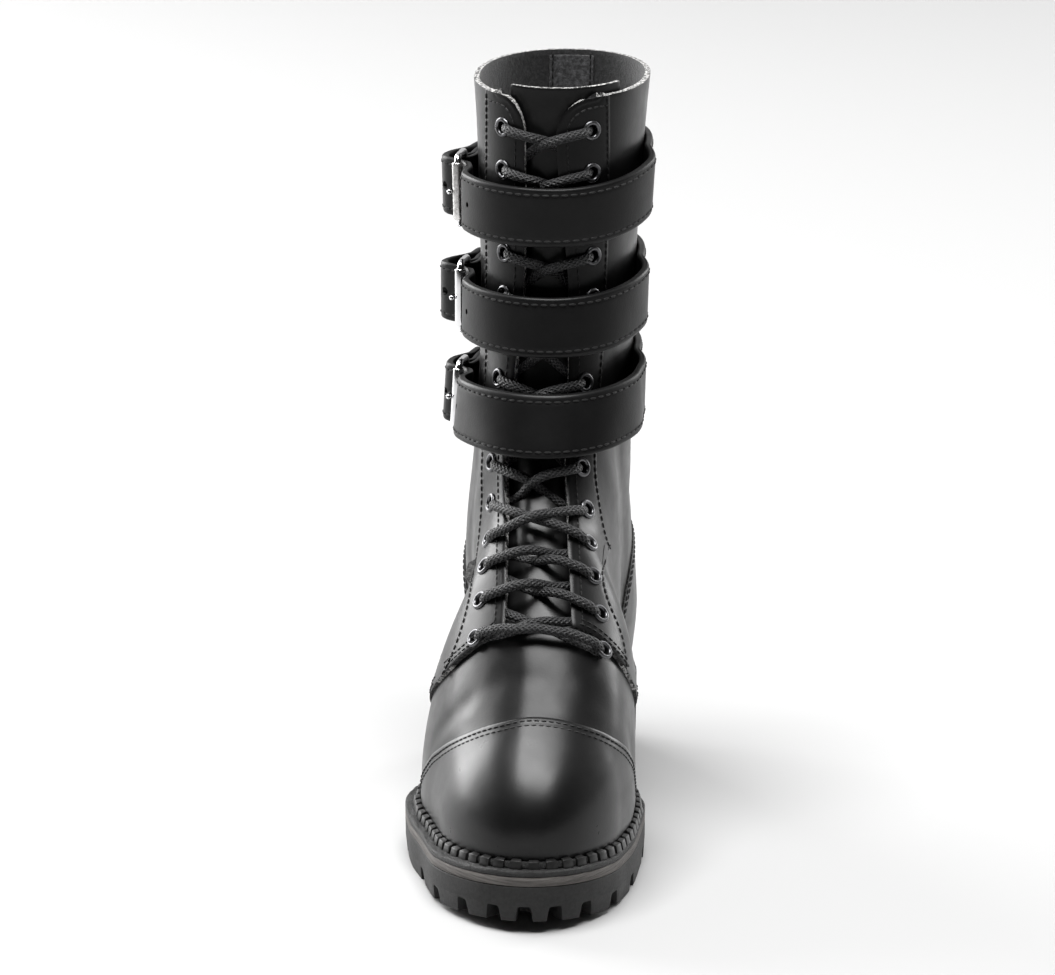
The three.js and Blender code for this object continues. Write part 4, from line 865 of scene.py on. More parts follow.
def first_over(values):
    """For each row of a lookup, the first turn at which values rise above zero."""
    turns = np.full(len(values), 0.5)
    for i, row in enumerate(values):
        over = np.nonzero(row > 0)[0]
        if len(over):
            k = over[0]
            turns[i] = TURNS[k] if k == 0 else mix(TURNS[k - 1], TURNS[k], row[k - 1] / (row[k - 1] - row[k]))
    return turns


SEAM_HEIGHTS = np.linspace(66, BOOT_HEIGHT + 6, 230)


def seam_line(side):
    """Seam at the facing's back: its x at each height, kept where it shows from the front, and its place."""
    sign = -1 if side == 0 else 1
    wanted = seam_x(side, SEAM_HEIGHTS) * sign
    tries = np.linspace(18, 56, 153)
    hits = cast_front(sign * tries[None, :] * np.ones((len(SEAM_HEIGHTS), 1)), SEAM_HEIGHTS[:, None])
    front = np.where(SEAM_HEIGHTS < 150, 112, 70)[:, None]
    widest = np.max(np.where(hits[..., 1] > front, tries[None, :], 0), axis=1)
    across = softened(np.minimum(wanted, widest - 1.2)[:, None], 4)[:, 0]
    return across, cast_front(sign * across, SEAM_HEIGHTS)[:, 1]


seam_lines = [seam_line(side) for side in (0, 1)]


def seam_turns(side):
    """Turn at which each row of the lookup passes the seam."""
    sign = -1 if side == 0 else 1
    across, along = seam_lines[side]
    x, s, z = [side_lookup[side][..., k] for k in range(3)]
    beyond = x * sign - np.interp(z, SEAM_HEIGHTS, across)
    value = np.where(s < np.interp(z, SEAM_HEIGHTS, along) - 3, np.maximum(beyond, 0.5), beyond)
    return softened(first_over(value)[:, None], 2)[:, 0]


seams = [seam_turns(side) for side in (0, 1)]


def quarter_front(side):
    """Front edge of a quarter: its own visible edge low down, then hidden under the facing."""
    s, z = side_lookup[side][..., 1], side_lookup[side][..., 2]
    own = first_inside(SOLE_LENGTH * quarter_end(z / BOOT_HEIGHT) - s)
    height = np.array([np.interp(turn, TURNS, row) for turn, row in zip(seams[side], z)])
    return np.where(height > 84, np.maximum(own, seams[side] - 0.01), own)


# Upper.

RIM_REACH = 4.5


def panel(name, points, level, thickness, materials, edges=(), press=0.35, round_edge=0.35):
    """Leather panel on the last: points at a level over it, thinned towards its sewn edges."""
    normals = normal_at(points)
    lifted = creased(points, normals)
    over = np.full(points.shape[:-1], level + thickness)
    for line in edges:
        gap = gap_to(points, line)
        over -= press * (1 - smooth(gap / 1.6)) + 0.16 * np.exp(-((gap - 2.6) / 0.8) ** 2)
    lifted = lifted + normals * over[..., None]
    piece = lay_grid(name, to_boot(lifted), turned(normals))
    thicken(piece, thickness, materials, round_edge)
    return piece


def darken_rim(piece, line):
    """Gives the rim faces beside a line of the last the dark cut edge, as the third rim material."""
    piece.data.materials.append(DARK_EDGE)
    rim = [face for face in piece.data.polygons if face.material_index == 2]
    centres = np.array([face.center for face in rim]) * 1000 - [SIDE_SHIFT, 0, 0]
    gaps = gap_to(centres, to_boot(line))
    for face, gap in zip(rim, gaps):
        if gap < RIM_REACH:
            face.material_index = 3


stitch_lines = []


def sew(line, level, distances, side):
    """Notes rows of stitches beside a panel's edge."""
    for distance in distances:
        sew_row(beside(line, distance, side), level)


def sew_row(row, level):
    row = row[row[:, 2] < BOOT_HEIGHT - 2]
    normals = normal_at(row)
    lifted = creased(row, normals) + normals * level
    stitch_lines.append((to_boot(lifted), turned(normals)))


def quarter(side, name):
    front = quarter_front(side)
    rows = np.linspace(0, 1, 191)
    start = np.interp(rows, SHARES, front)
    across = np.linspace(0, 1, 92)
    turn = mix(start[:, None], 0.5, across[None, :])
    points = on_last(side, turn, rows[:, None] * np.ones_like(turn))
    visible = points[points[:, 0, 2] < 79][:, 0]
    piece = panel(name, points, -INNER_WALL, QUARTER + INNER_WALL,
                  [UPPER_LEATHER, SUEDE, PALE_EDGE], [visible])
    darken_rim(piece, visible)
    sew(visible, QUARTER, (2.2, 4.8), 1 if side == 0 else -1)
    return finish(piece, None, ["upper"])


quarter(0, "quarter_lateral")
quarter(1, "quarter_medial")


def facing_places(side, columns):
    """Grid of places across and up the facing, from its lower edge to the collar."""
    sign = -1 if side == 0 else 1
    reach = 1 - (1 - columns) ** 1.7

    def place(z):
        seam = sign * np.interp(z, SEAM_HEIGHTS, seam_lines[side][0])
        return cast_front(mix(throat_x(side, z), seam, reach[None, :]), z)

    heights = np.linspace(67, 132, 131)[:, None] * np.ones((1, len(columns)))
    points = place(heights)
    inside = SOLE_LENGTH * quarter_end(points[..., 2] / BOOT_HEIGHT) - points[..., 1]
    bottom = []
    for c in range(len(columns)):
        k = np.nonzero(inside[:, c] <= 0)[0]
        k = k[-1] if len(k) else 0
        a, b = inside[k, c], inside[min(k + 1, 130), c]
        bottom.append(heights[k, c] + 0.5 * float(np.clip(-a / (b - a), 0, 1)))
    rows = np.concatenate([np.linspace(0, 0.92, 150), np.linspace(0.92, 1, 27)[1:]])
    return place(mix(np.array(bottom)[None, :], BOOT_HEIGHT, rows[:, None]))


def eyelet_row(side):
    """Places and normals of the eyelets down one facing, a pitch apart along the leather."""
    heights = np.arange(BOOT_HEIGHT - EYELET_TOP_DROP, 90, -0.4)
    points = cast_front(SHAFT_WIDTH * eyelet_lines[side](heights / BOOT_HEIGHT), heights)
    normals = normal_at(points)
    lifted = points + normals * (QUARTER + FACING)
    places = [0]
    for i in range(len(heights)):
        if np.linalg.norm(lifted[i] - lifted[places[-1]]) >= EYELET_PITCH and len(places) < 14:
            places.append(i)
    return points[places], normals[places]


eyelets = [eyelet_row(0), eyelet_row(1)]


def facing(side, name):
    sign = -1 if side == 0 else 1
    columns = np.linspace(0, 1, 30)
    points = facing_places(side, columns)
    inner = points[:, 0]
    outer = points[:, -1]
    lower = points[0]
    piece = panel(name, points, -INNER_WALL, QUARTER + FACING + INNER_WALL,
                  [UPPER_LEATHER, SUEDE, PALE_EDGE], [inner, outer, lower], 0.45, 0.45)
    darken_rim(piece, np.concatenate([lower[4:], outer[:-8]]))
    for point, normal in zip(*eyelets[side]):
        deselect()
        bpy.ops.mesh.primitive_cylinder_add(vertices=20, radius=0.0029, depth=0.016)
        cutter = bpy.context.active_object
        way = Vector(turned(normal))
        place = Vector(metres(to_boot(point)))
        cutter.matrix_world = Matrix.Translation(place) @ way.to_track_quat("Z", "Y").to_matrix().to_4x4()
        bpy.context.view_layer.update()
        cut(piece, cutter)
    shade(piece, 50)
    top = QUARTER + FACING
    row = beside(inner, 4.6, 1 if side == 0 else -1)
    row = row[row[:, 2] < BOOT_HEIGHT - 4.5]
    ends = np.array([row[-1], [seam_x(side, BOOT_HEIGHT) * 0.97, row[-1, 1] - 6, row[-1, 2]]])
    row = settle(np.concatenate([row[:-1], resample(ends, 1)])) if row[-1, 2] > row[0, 2] else row
    sew_row(row, top)
    sew(outer, top, (1.8,), -1 if side == 0 else 1)
    sew(lower[2:-1], top, (2.2, 4.8), -1 if side == 0 else 1)
    return finish(piece, None, ["upper"])


facing(0, "facing_lateral")
facing(1, "facing_medial")


def round_toe(share_at, spread_turn, columns, rows):
    """Panel over the toe: columns round it, rows from the feather line to an edge."""
    turn = spread_turn * np.sin(np.linspace(-np.pi / 2, np.pi / 2, columns))
    side = np.where(turn >= 0, 0, 1)
    top = share_at(turn)
    grid = np.empty((rows, columns, 3))
    up = np.linspace(0, 1, rows)
    for value in (0, 1):
        pick = side == value
        share = up[:, None] * top[None, pick]
        grid[:, pick] = on_last(value, np.abs(turn[pick])[None, :] * np.ones_like(share), share)
    return grid


def edge_share(end, ahead):
    """Finds, for turns round the toe, the share of the height at which an edge line is met."""
    def at(turn):
        found = np.zeros(len(turn))
        for i, t in enumerate(turn):
            side = 0 if t >= 0 else 1
            k = int(round(abs(t) / 0.5 * (len(TURNS) - 1)))
            column_points = side_lookup[side][:, k]
            value = column_points[:, 1] - SOLE_LENGTH * end(column_points[:, 2] / BOOT_HEIGHT) - ahead
            below = np.nonzero(value <= 0)[0]
            j = below[0] if len(below) else len(value) - 1
            if j > 0:
                found[i] = mix(SHARES[j - 1], SHARES[j], value[j - 1] / (value[j - 1] - value[j]))
        return np.convolve(np.pad(found, 3, mode="edge"), np.ones(7) / 7, "valid")
    return at


def turn_at(side, end, ahead):
    """Turn at which an edge line reaches the feather line."""
    row = side_lookup[side][0]
    value = row[:, 1] - SOLE_LENGTH * end(row[:, 2] / BOOT_HEIGHT) - ahead
    k = np.nonzero(value <= 0)[0][0]
    return mix(TURNS[k - 1], TURNS[k], value[k - 1] / (value[k - 1] - value[k]))


def vamp():
    spread_turn = min(turn_at(0, quarter_end, -16), turn_at(1, quarter_end, -16))
    throat = BOOT_HEIGHT * 0.35

    def share_at(turn):
        under = edge_share(quarter_end, -14)(turn)
        limit = np.empty(len(turn))
        for i, t in enumerate(turn):
            side = 0 if t >= 0 else 1
            k = int(round(abs(t) / 0.5 * (len(TURNS) - 1)))
            limit[i] = np.interp(throat, side_lookup[side][:, k, 2], SHARES)
        return np.minimum(under, limit)

    points = round_toe(share_at, spread_turn, 168, 84)
    top = points[-1]
    middle = (np.abs(top[:, 0] - 4) < 24) & (top[:, 2] > 108)
    piece = panel("vamp", points, -VAMP, VAMP, [UPPER_LEATHER, SUEDE, DARK_EDGE], [top[middle]], 0.3, 0.3)
    sew(top[middle], 0, (2.4, 5.2), 1)
    return finish(piece, None, ["upper"])


def toe_cap():
    spread_turn = (turn_at(0, cap_end, 0) + turn_at(1, cap_end, 0)) / 2
    points = round_toe(edge_share(cap_end, 0), spread_turn, 170, 76)
    top = points[-1]
    piece = panel("toe_cap", points, 0.05, CAP, [CAP_LEATHER, SUEDE, DARK_EDGE], [top], 0.35, 0.3)
    sew(top[4:-4], CAP, (2.2, 4.9), 1)
    return finish(piece, None, ["upper"])


vamp()
toe_cap()


def heel_counter():
    value = [SOLE_LENGTH * counter_end(side_lookup[side][..., 2] / BOOT_HEIGHT) - side_lookup[side][..., 1]
             for side in (0, 1)]
    edges = [first_inside(v) for v in value]
    # The first row that the counter's edge no longer reaches, on either side.
    past = [np.append(np.nonzero(edge >= 0.499)[0], len(edge))[0] for edge in edges]
    last_row = min(past) - 1
    rows = np.concatenate([np.linspace(0, 0.8, 50), np.linspace(0.8, 1, 30)[1:]]) * SHARES[last_row]
    across = np.linspace(0, 1, 46)
    sides = []
    for side in (0, 1):
        start = np.interp(rows, SHARES, edges[side])
        turn = mix(start[:, None], 0.5, across[None, :])
        sides.append(on_last(side, turn, rows[:, None] * np.ones_like(turn)))
    points = np.concatenate([sides[0], sides[1][:, -2::-1]], axis=1)
    rim = np.concatenate([points[:, 0], points[-1, 1:-1], points[::-1, -1]])
    piece = panel("heel_counter", points, QUARTER + 0.05, COUNTER, [UPPER_LEATHER, SUEDE, DARK_EDGE],
                  [rim], 0.35, 0.3)
    sew(softened(resample(rim, 1), 3), QUARTER + COUNTER, (2.2, 4.8), 1)
    return finish(piece, None, ["upper"])


def back_strip(name, level, thickness, half, low, materials, inward=False):
    """Strip up the back seam, outside or inside the shaft."""
    heights = np.linspace(low, BOOT_HEIGHT - (2.5 if inward else 0), 120)
    across = np.linspace(-half, half, 15)
    middle, depth, _, centre = shaft_oval(heights)
    start = np.stack([centre, middle, heights], axis=-1)[:, None, :] * np.ones((1, len(across), 1))
    flat = np.ones((len(heights), len(across)))
    way = np.stack([flat * across * 0.92, -depth[:, None] * flat, 0 * flat], axis=-1)
    points = cast_out(start, unit(way))
    normals = normal_at(points)
    if inward:
        lifted = points - normals * level
        piece = lay_grid(name, to_boot(lifted), turned(-normals))
        thicken(piece, thickness, materials)
        for column_at in (1, -2):
            line = points[:, column_at] - normals[:, column_at] * (level + 0.05)
            stitch_lines.append((to_boot(line), -turned(normals[:, column_at])))
    else:
        piece = panel(name, points, level, thickness, materials, [points[:, 0], points[:, -1]], 0.3, 0.3)
        for column_at, side in ((0, 1), (-1, -1)):
            line = beside(points[:, column_at], 2.2, side)
            normals = normal_at(line)
            stitch_lines.append((to_boot(line + normals * (level + thickness)), turned(normals)))
    return finish(piece, None, ["upper"])


heel_counter()
back_strip("backstay", QUARTER + 0.05, 0.8, 13, 118, [UPPER_LEATHER, SUEDE, PALE_EDGE])
back_strip("inner_back_strip", INNER_WALL + 1.1, 1.0, 12.5, 150,
           [STRIP_SUEDE, SUEDE, DARK_EDGE], True)


# Tongue, pressed in a little where the laces cross under the facings.

def tongue():
    rows = np.linspace(0, 1, 190)
    z = mix(BOOT_HEIGHT + 4, BOOT_HEIGHT * 0.285, rows)[:, None]
    half = mix(44, 54, smooth((z / BOOT_HEIGHT - 0.285) / 0.3)) / 2
    across = np.linspace(-1, 1, 44)[None, :]
    lean = 10 * smooth((z - BOOT_HEIGHT * 0.88) / 40)
    x = SHAFT_WIDTH * throat_centre(z / BOOT_HEIGHT) + lean + half * across
    points = cast_front(x, z * np.ones_like(x))
    normals = normal_at(points)
    depth = 2.6 + 1.6 * smooth((0.43 - z / BOOT_HEIGHT) / 0.08) * np.ones_like(x)
    lumps = 0.5 * np.sin(z / 9.5 + 0.12 * x) + 0.35 * np.sin(z / 5.3 - 0.2 * x + 1.3)
    lumps = lumps + 0.4 * np.sin(x / 4.2 + 0.05 * z)
    calm = smooth((BOOT_HEIGHT - 45 - z) / 60)
    depth = depth - 0.45 * lumps * calm
    for side in (0, 1):
        for place in eyelets[side][0][2:]:
            inner = place + np.array([(4 if side == 0 else -4), 0, 0])
            gap = np.linalg.norm(points - inner, axis=-1)
            depth = depth + 1.5 * np.exp(-(gap / 6) ** 2)
    lifted = points - normals * depth[..., None]
    piece = lay_grid("tongue_leather", to_boot(lifted), turned(normals))
    thicken(piece, 2.2, [TONGUE_LEATHER, SUEDE, PALE_EDGE], 0.4)
    return finish(piece, None, ["tongue"])


tongue()


# Eyelets: a rolled rim over a short barrel, modelled once and copied to every place.

def eyelet_model():
    profile = [
        (2.6, -3.0), (2.6, -0.2), (2.68, 0.4), (3.05, 0.85), (3.65, 1.0), (4.25, 0.8), (4.62, 0.32),
        (4.68, 0.02), (4.45, -0.1), (3.0, -0.1), (2.8, -0.4), (2.8, -3.0),
    ]
    angle = np.linspace(0, 2 * np.pi, 37)[:-1]
    rings = []
    for r, h in profile:
        rings.append(np.stack([r * np.cos(angle), r * np.sin(angle), np.full(len(angle), h)], axis=-1))
    piece = closed_grid("eyelet_model", np.array(rings) - np.array([SIDE_SHIFT, 0, 0]), loop_rows=True)
    return piece


def set_eyelets():
    model = eyelet_model()
    for side, word in ((0, "lateral"), (1, "medial")):
        points, normals = eyelets[side]
        for row in range(14):
            origin = to_boot(points[row] + normals[row] * (QUARTER + FACING + 0.15))
            way = turned(normals[row])
            piece = joined_copies(f"eyelet_ring_{word}_{row + 1}", model,
                                  origin[None], np.array([[0, 0, 1.0]]), way[None])
            finish(piece, GUNMETAL, [f"eyelet_{word}_{row + 1}"], 60)
    bpy.data.objects.remove(model, do_unlink=True)


set_eyelets()


# Lace. Two halves run up through the eyelets; each bar goes over or under the facings.

UNDER = -(INNER_WALL + 0.2 + LACE_RADIUS)
OVER = QUARTER + FACING + LACE_RADIUS + 0.1
LACE_STEP = 0.7
BAR_ARCH = 4.5
STRAIGHT_BAR_ARCH = 8.0


def bar_ends(row):
    """Whether a bar's lower and upper end lie over the facing, by the row it starts from (14 to 2)."""
    if row == 14:
        return False, False
    if row in (13, 12):
        return True, False
    if row == 11:
        return True, True
    return False, True


def bar_route(side, row):
    """Bar from an eyelet to the next one up on the other side, as x, z and height over the last."""
    low, _ = eyelets[side]
    high, _ = eyelets[1 - side]
    a, b = low[row - 1], high[row - 2]
    low_over, high_over = bar_ends(row)
    on_top = side == 0
    stops = []
    for t in np.linspace(0.1, 0.9, 17):
        x = mix(a[0], b[0], t)
        z = mix(a[2], b[2], t) + BAR_ARCH * math.sin(math.pi * t)
        rest = mix(OVER if low_over else UNDER, OVER if high_over else UNDER, float(smooth((t - 0.3) / 0.4)))
        if low_over and high_over:
            rest = OVER + 0.4
        if not low_over and not high_over:
            rest = UNDER + 4.2 * math.sin(math.pi * t)
        crossing = math.exp(-((t - 0.5) / 0.16) ** 2)
        lift = (LACE_RADIUS if on_top else -LACE_RADIUS) * crossing * 1.02
        stops.append((x, z, rest + lift))
    return stops


def lace_half(start_side):
    """One half of the lace, from the straight bar's eyelet up to its hidden end."""
    stops = []
    side = start_side
    first = eyelets[side][0][13]
    other = eyelets[1 - side][0][13]
    middle = mix(first, other, 0.5)
    stops.append((middle[0], middle[2] + STRAIGHT_BAR_ARCH, OVER + 0.6))
    half_z = mix(first[2], middle[2], 0.5)
    stops.append((mix(first[0], middle[0], 0.5), half_z + 0.8 * STRAIGHT_BAR_ARCH, OVER + 0.6))
    stops.append((mix(first[0], middle[0], 0.16), first[2] + 0.35 * STRAIGHT_BAR_ARCH, OVER))
    stops.append((first[0], first[2], 1.0))
    for row in range(14, 1, -1):
        stops.extend(bar_route(side, row))
        side = 1 - side
        place = eyelets[side][0][row - 2]
        stops.append((place[0], place[2], 1.0))
    place = eyelets[side][0][0]
    way = 1 if side == 0 else -1
    stops.append((place[0] + way * 2.5, place[2] - 1.5, UNDER))
    stops.append((place[0] + way * 6.5, place[2] - 3, UNDER))
    fine = resample(np.array(stops), 0.6)
    fine = softened(fine, 2, 2)
    points = cast_front(fine[:, 0], fine[:, 1])
    normals = normal_at(points)
    normals = unit(softened(normals, 3, 2))
    line = to_boot(points + normals * fine[:, 2:3])
    line = softened(line, 1, 2)
    return resample(line, 0.5)


def cord(name, path, radius, around, closed=False):
    """Tube along a path, of one radius or a radius for each of its points."""
    way = tangents(path, closed)
    side = np.empty_like(path)
    side[0] = unit(np.cross(way[0], [0.1, 0.3, 1.0]))
    for i in range(1, len(path)):
        side[i] = unit(side[i - 1] - (side[i - 1] @ way[i]) * way[i])
    other = np.cross(way, side)
    angle = np.linspace(0, 2 * np.pi, around + 1)[:-1]
    reach = np.broadcast_to(np.asarray(radius, float), len(path))[:, None, None]
    points = path[:, None, :] + reach * (
        np.cos(angle)[None, :, None] * side[:, None, :] + np.sin(angle)[None, :, None] * other[:, None, :])
    return closed_grid(name, points, loop_rows=closed, caps=not closed)


def lace():
    first, second = lace_half(0), lace_half(1)
    line = softened(np.concatenate([second[::-1], first[1:]]), 2)
    line = resample(line, LACE_STEP)
    piece = cord("braided_lace", line, LACE_RADIUS, 20)
    return finish(piece, braid("braided lace", LACE_STEP * (len(line) - 1)), ["lace"], 80)


lace()


# Straps and buckles, round the shaft. Turns are degrees from the front, positive to the medial side.

STRAPS = [
    ("top", 0.844, 0.34, 0.02, 0.08, 3.2), ("middle", 0.696, 0.28, 0.02, 0.2, 5.0),
    ("bottom", 0.57, 0.22, -0.16, 0.75, 1.6),
]
BAR_OVER = 2 * CHAPE_LEATHER + 3 * CLEARANCE + WIRE / 2
FOLD_RADIUS = WIRE / 2 + CLEARANCE + CHAPE_LEATHER
LACE_ROOM = 4.2
LACE_REST = FACING + 1.45 + LACE_ROOM + 4 * CLEARANCE
STRAP_WAY = [
    (-140, 2 * CHAPE_LEATHER + 4 * CLEARANCE), (-118, 2 * CHAPE_LEATHER + 4 * CLEARANCE),
    (-100, BAR_OVER + FOLD_RADIUS + CLEARANCE), (-84, BAR_OVER + FOLD_RADIUS + CLEARANCE),
    (-66, 3), (-58, 3),
    (-43, LACE_REST), (-20, LACE_REST), (20, LACE_REST), (50, LACE_REST), (80, 1), (105, 0.6), (150, 0.6),
]
over_at = column(STRAP_WAY)
ROLLER_TURN = -62
BAR_TURN = -88


def strap_height(strap, turn):
    _, front, medial, lateral, _, _ = strap
    side = np.where(turn > 0, medial, lateral)
    return BOOT_HEIGHT * front + STRAP_WIDTH * side * smooth(np.abs(turn) / 80)


def strap_inner(strap, turn):
    ease = LACE_ROOM * strap[4] * smooth((56 - np.abs(turn)) / 24)
    bulge = strap[5] * np.exp(-((turn + 91) / 11) ** 2)
    return over_at(turn) + ease + bulge


def shaft_point(turn, z, over):
    """Place off the shaft at a turn, a height and a distance over the quarter."""
    turn, z, over = np.broadcast_arrays(*[np.asarray(v, float) for v in (turn, z, over)])
    middle, _, _, centre = shaft_oval(z)
    angle = np.radians(turn)
    start = np.stack([centre, middle, z], axis=-1)
    way = np.stack([np.sin(angle), np.cos(angle), np.zeros_like(angle)], axis=-1)
    point = cast_out(start, way)
    normal = normal_at(point) * np.array([1, 1, 0])
    return to_boot(point + unit(normal) * (QUARTER + over)[..., None])


class Buckle:
    """Places that a buckle is built from: bar, roller, and the ways along, off and up."""

    def __init__(self, strap):
        rise = STRAP_WIDTH / 2

        def at(turn, over):
            z = strap_height(strap, turn)
            middle = shaft_point(turn, z, over)
            return middle, unit(shaft_point(turn, z + rise, over) - shaft_point(turn, z - rise, over))

        roller_over = over_at(ROLLER_TURN) + STRAP_THICKNESS + 3 * CLEARANCE + ROLLER / 2
        roller, roller_up = at(ROLLER_TURN, roller_over)
        bar, bar_up = at(BAR_TURN, BAR_OVER)
        self.up = unit(roller_up + bar_up)
        along = roller - bar
        along = along - (along @ self.up) * self.up
        self.length = float(np.linalg.norm(along))
        self.along = unit(along)
        self.off = np.cross(self.along, self.up)
        self.bar = bar

    def place(self, points):
        """From along, off, up at the bar to the boot."""
        points = np.asarray(points, float)
        return (self.bar + points[..., 0:1] * self.along + points[..., 1:2] * self.off
                + points[..., 2:3] * self.up)


def band_profile(width, thickness, groove):
    """Section of a strap: rounded edges with the line between its two layers, sewn grooves outside."""
    half = width / 2
    outer = []
    for rise in np.concatenate([np.linspace(-half + 1.0, half - 1.0, 36)]):
        edge = half - abs(rise)
        sunk = groove * math.exp(-((edge - 3.0) / 0.75) ** 2) + 0.35 * (1 - float(smooth(edge / 3.2)))
        outer.append((rise, thickness - sunk * 0.6))
    right = [(half - 0.35, thickness * 0.86), (half, thickness * 0.68), (half - 0.22, thickness * 0.5),
             (half, thickness * 0.32), (half - 0.3, thickness * 0.1)]
    inner = [(half - 1.2, 0), (half * 0.33, 0), (-half * 0.33, 0), (-half + 1.2, 0)]
    left = [(-rise, depth) for rise, depth in right[::-1]]
    return np.array(outer + right + inner + left)


def band(name, strap, turns, width_at, inner, thickness, groove=0.25):
    """Leather band round the shaft between turns."""
    profile = band_profile(STRAP_WIDTH, thickness, groove)
    middle = strap_height(strap, turns)
    half = width_at / 2
    corners = {}
    for key, rise in (("low", -1), ("high", 1)):
        corners[key, 0] = shaft_point(turns, middle + rise * half, inner)
        corners[key, 1] = shaft_point(turns, middle + rise * half, inner + thickness)
    up = (profile[:, 0] / STRAP_WIDTH + 0.5)[None, :, None]
    out = (profile[:, 1] / thickness)[None, :, None]
    low = mix(corners["low", 0][:, None], corners["low", 1][:, None], out)
    high = mix(corners["high", 0][:, None], corners["high", 1][:, None], out)
    points = mix(low, high, up)
    outer_line = {key: corners[key, 1] for key in ("low", "high")}
    return points, outer_line


def ease_in(line, times=3):
    """Softens a band's rows along its length."""
    for _ in range(times):
        line[1:-1] = (line[:-2] + 2 * line[1:-1] + line[2:]) / 4
    return line


def tip_width(turns, tip_turn, length_turn):
    """Strap width with a rounded tip at its free end."""
    t = np.clip((turns - tip_turn) / length_turn, 0, 1)
    return STRAP_WIDTH * np.sqrt(np.maximum(1 - (1 - t) ** 2.2, 0.02))


HOLE_TURNS = [-36, -50, -101, -118]


def hole_cutter(strap, turn, radius):
    z = strap_height(strap, turn)
    over = float(strap_inner(strap, np.array(turn, float)))
    a = shaft_point(turn, z, over - 1)
    b = shaft_point(turn, z, over + STRAP_THICKNESS + 1)
    deselect()
    length = float(np.linalg.norm(b - a))
    bpy.ops.mesh.primitive_cylinder_add(vertices=16, radius=radius * 0.001, depth=length * 0.001)
    cutter = bpy.context.active_object
    way = Vector(unit(b - a))
    place = Vector(metres((a + b) / 2))
    cutter.matrix_world = Matrix.Translation(place) @ way.to_track_quat("Z", "Y").to_matrix().to_4x4()
    bpy.context.view_layer.update()
    return cutter


# Stitches round a strap's tip, as the row of the band and the share of its width.
TIP_STITCHES = [(10, 0.14), (7, 0.2), (5, 0.32), (4, 0.5), (5, 0.68), (7, 0.8), (10, 0.86)]
strap_stitches = []


def strap(row, buckle):
    name = row[0]
    turns = np.concatenate([np.linspace(-140, -128, 14)[:-1], np.linspace(-128, 150, 250)])
    width = tip_width(turns, -141.0, 13.0)
    points, edges = band(name, row, turns, width, strap_inner(row, turns), STRAP_THICKNESS)
    points = ease_in(points, 4)
    piece = closed_grid(f"strap_leather_{name}", points, caps=True)
    for turn in HOLE_TURNS:
        cut(piece, hole_cutter(row, turn, 1.35))
    cut(piece, hole_cutter(row, -83, 1.9))
    piece.data.materials.clear()
    piece.data.materials.append(STRAP_LEATHER)
    shade(piece, 48)
    low, high = edges["low"], edges["high"]
    inset = 3.0 / STRAP_WIDTH
    outward = np.cross(np.gradient(low, axis=0), high - low)
    for t in (inset, 1 - inset):
        line = ease_in(mix(low, high, t).copy(), 4)
        keep = turns > -136
        normal = unit(outward)
        check = line[len(line) // 2] - shaft_point(turns[len(turns) // 2], strap_height(row, 0.0), -3)
        if normal[len(line) // 2] @ check < 0:
            normal = -normal
        strap_stitches.append((line[keep] - normal[keep] * 0.22, normal[keep]))
    tip = np.stack([mix(low[k], high[k], t) for k, t in TIP_STITCHES])
    tip_normal = np.stack([unit(outward)[k] for k, _ in TIP_STITCHES])
    if tip_normal[3] @ (tip[3] - shaft_point(-138.0, strap_height(row, -138.0), -3)) < 0:
        tip_normal = -tip_normal
    strap_stitches.append((tip, tip_normal))
    return finish(piece, None, [f"strap_{name}"])


def rounded_loop(length, half, corner, steps=8):
    points = []
    for i, (end, side) in enumerate([(0, 1), (1, 1), (1, -1), (0, -1)]):
        centre = np.array([length - corner if end else corner, 0, side * (half - corner)])
        for k in range(steps + 1):
            angle = math.pi - (math.pi / 2) * (i + k / steps)
            points.append(centre + corner * np.array([math.cos(angle), 0, math.sin(angle)]))
    return np.array(points)


def buckle_frame(name, buckle):
    half = STRAP_WIDTH / 2 + WIRE / 2 + 3 * CLEARANCE
    loop = rounded_loop(buckle.length, half, WIRE * 1.25)
    loop = resample(loop, 1.0, closed=True)
    piece = cord(f"buckle_wire_{name}", buckle.place(loop), WIRE / 2, 18, closed=True)
    return finish(piece, CHROME, [f"buckle_frame_{name}"], 60)


def turned_round(name, buckle, profile, centre, around=36):
    """Turns a profile (radius, height) round a line parallel to the bar."""
    angle = np.linspace(0, 2 * np.pi, around + 1)[:-1]
    rings = []
    for r, h in profile:
        rings.append(np.stack([centre[0] + r * np.cos(angle), centre[1] + r * np.sin(angle),
                               np.full(around, h)], axis=-1))
    return closed_grid(name, buckle.place(np.array(rings)), loop_rows=True)


def buckle_roller(name, buckle, worn):
    half = (STRAP_WIDTH - CLEARANCE) / 2
    r, inner = ROLLER / 2, WIRE / 2 + CLEARANCE
    profile = [(inner, -half), (r - 0.35, -half), (r - 0.08, -half + 0.25), (r, -half + 0.7),
               (r - 0.02, -half * 0.4), (r - 0.02, half * 0.4), (r, half - 0.7), (r - 0.08, half - 0.25),
               (r - 0.35, half), (inner, half)]
    piece = turned_round(f"buckle_sleeve_{name}", buckle, profile, (buckle.length, 0))
    return finish(piece, WORN_CHROME if worn else CHROME, [f"buckle_roller_{name}"], 40)


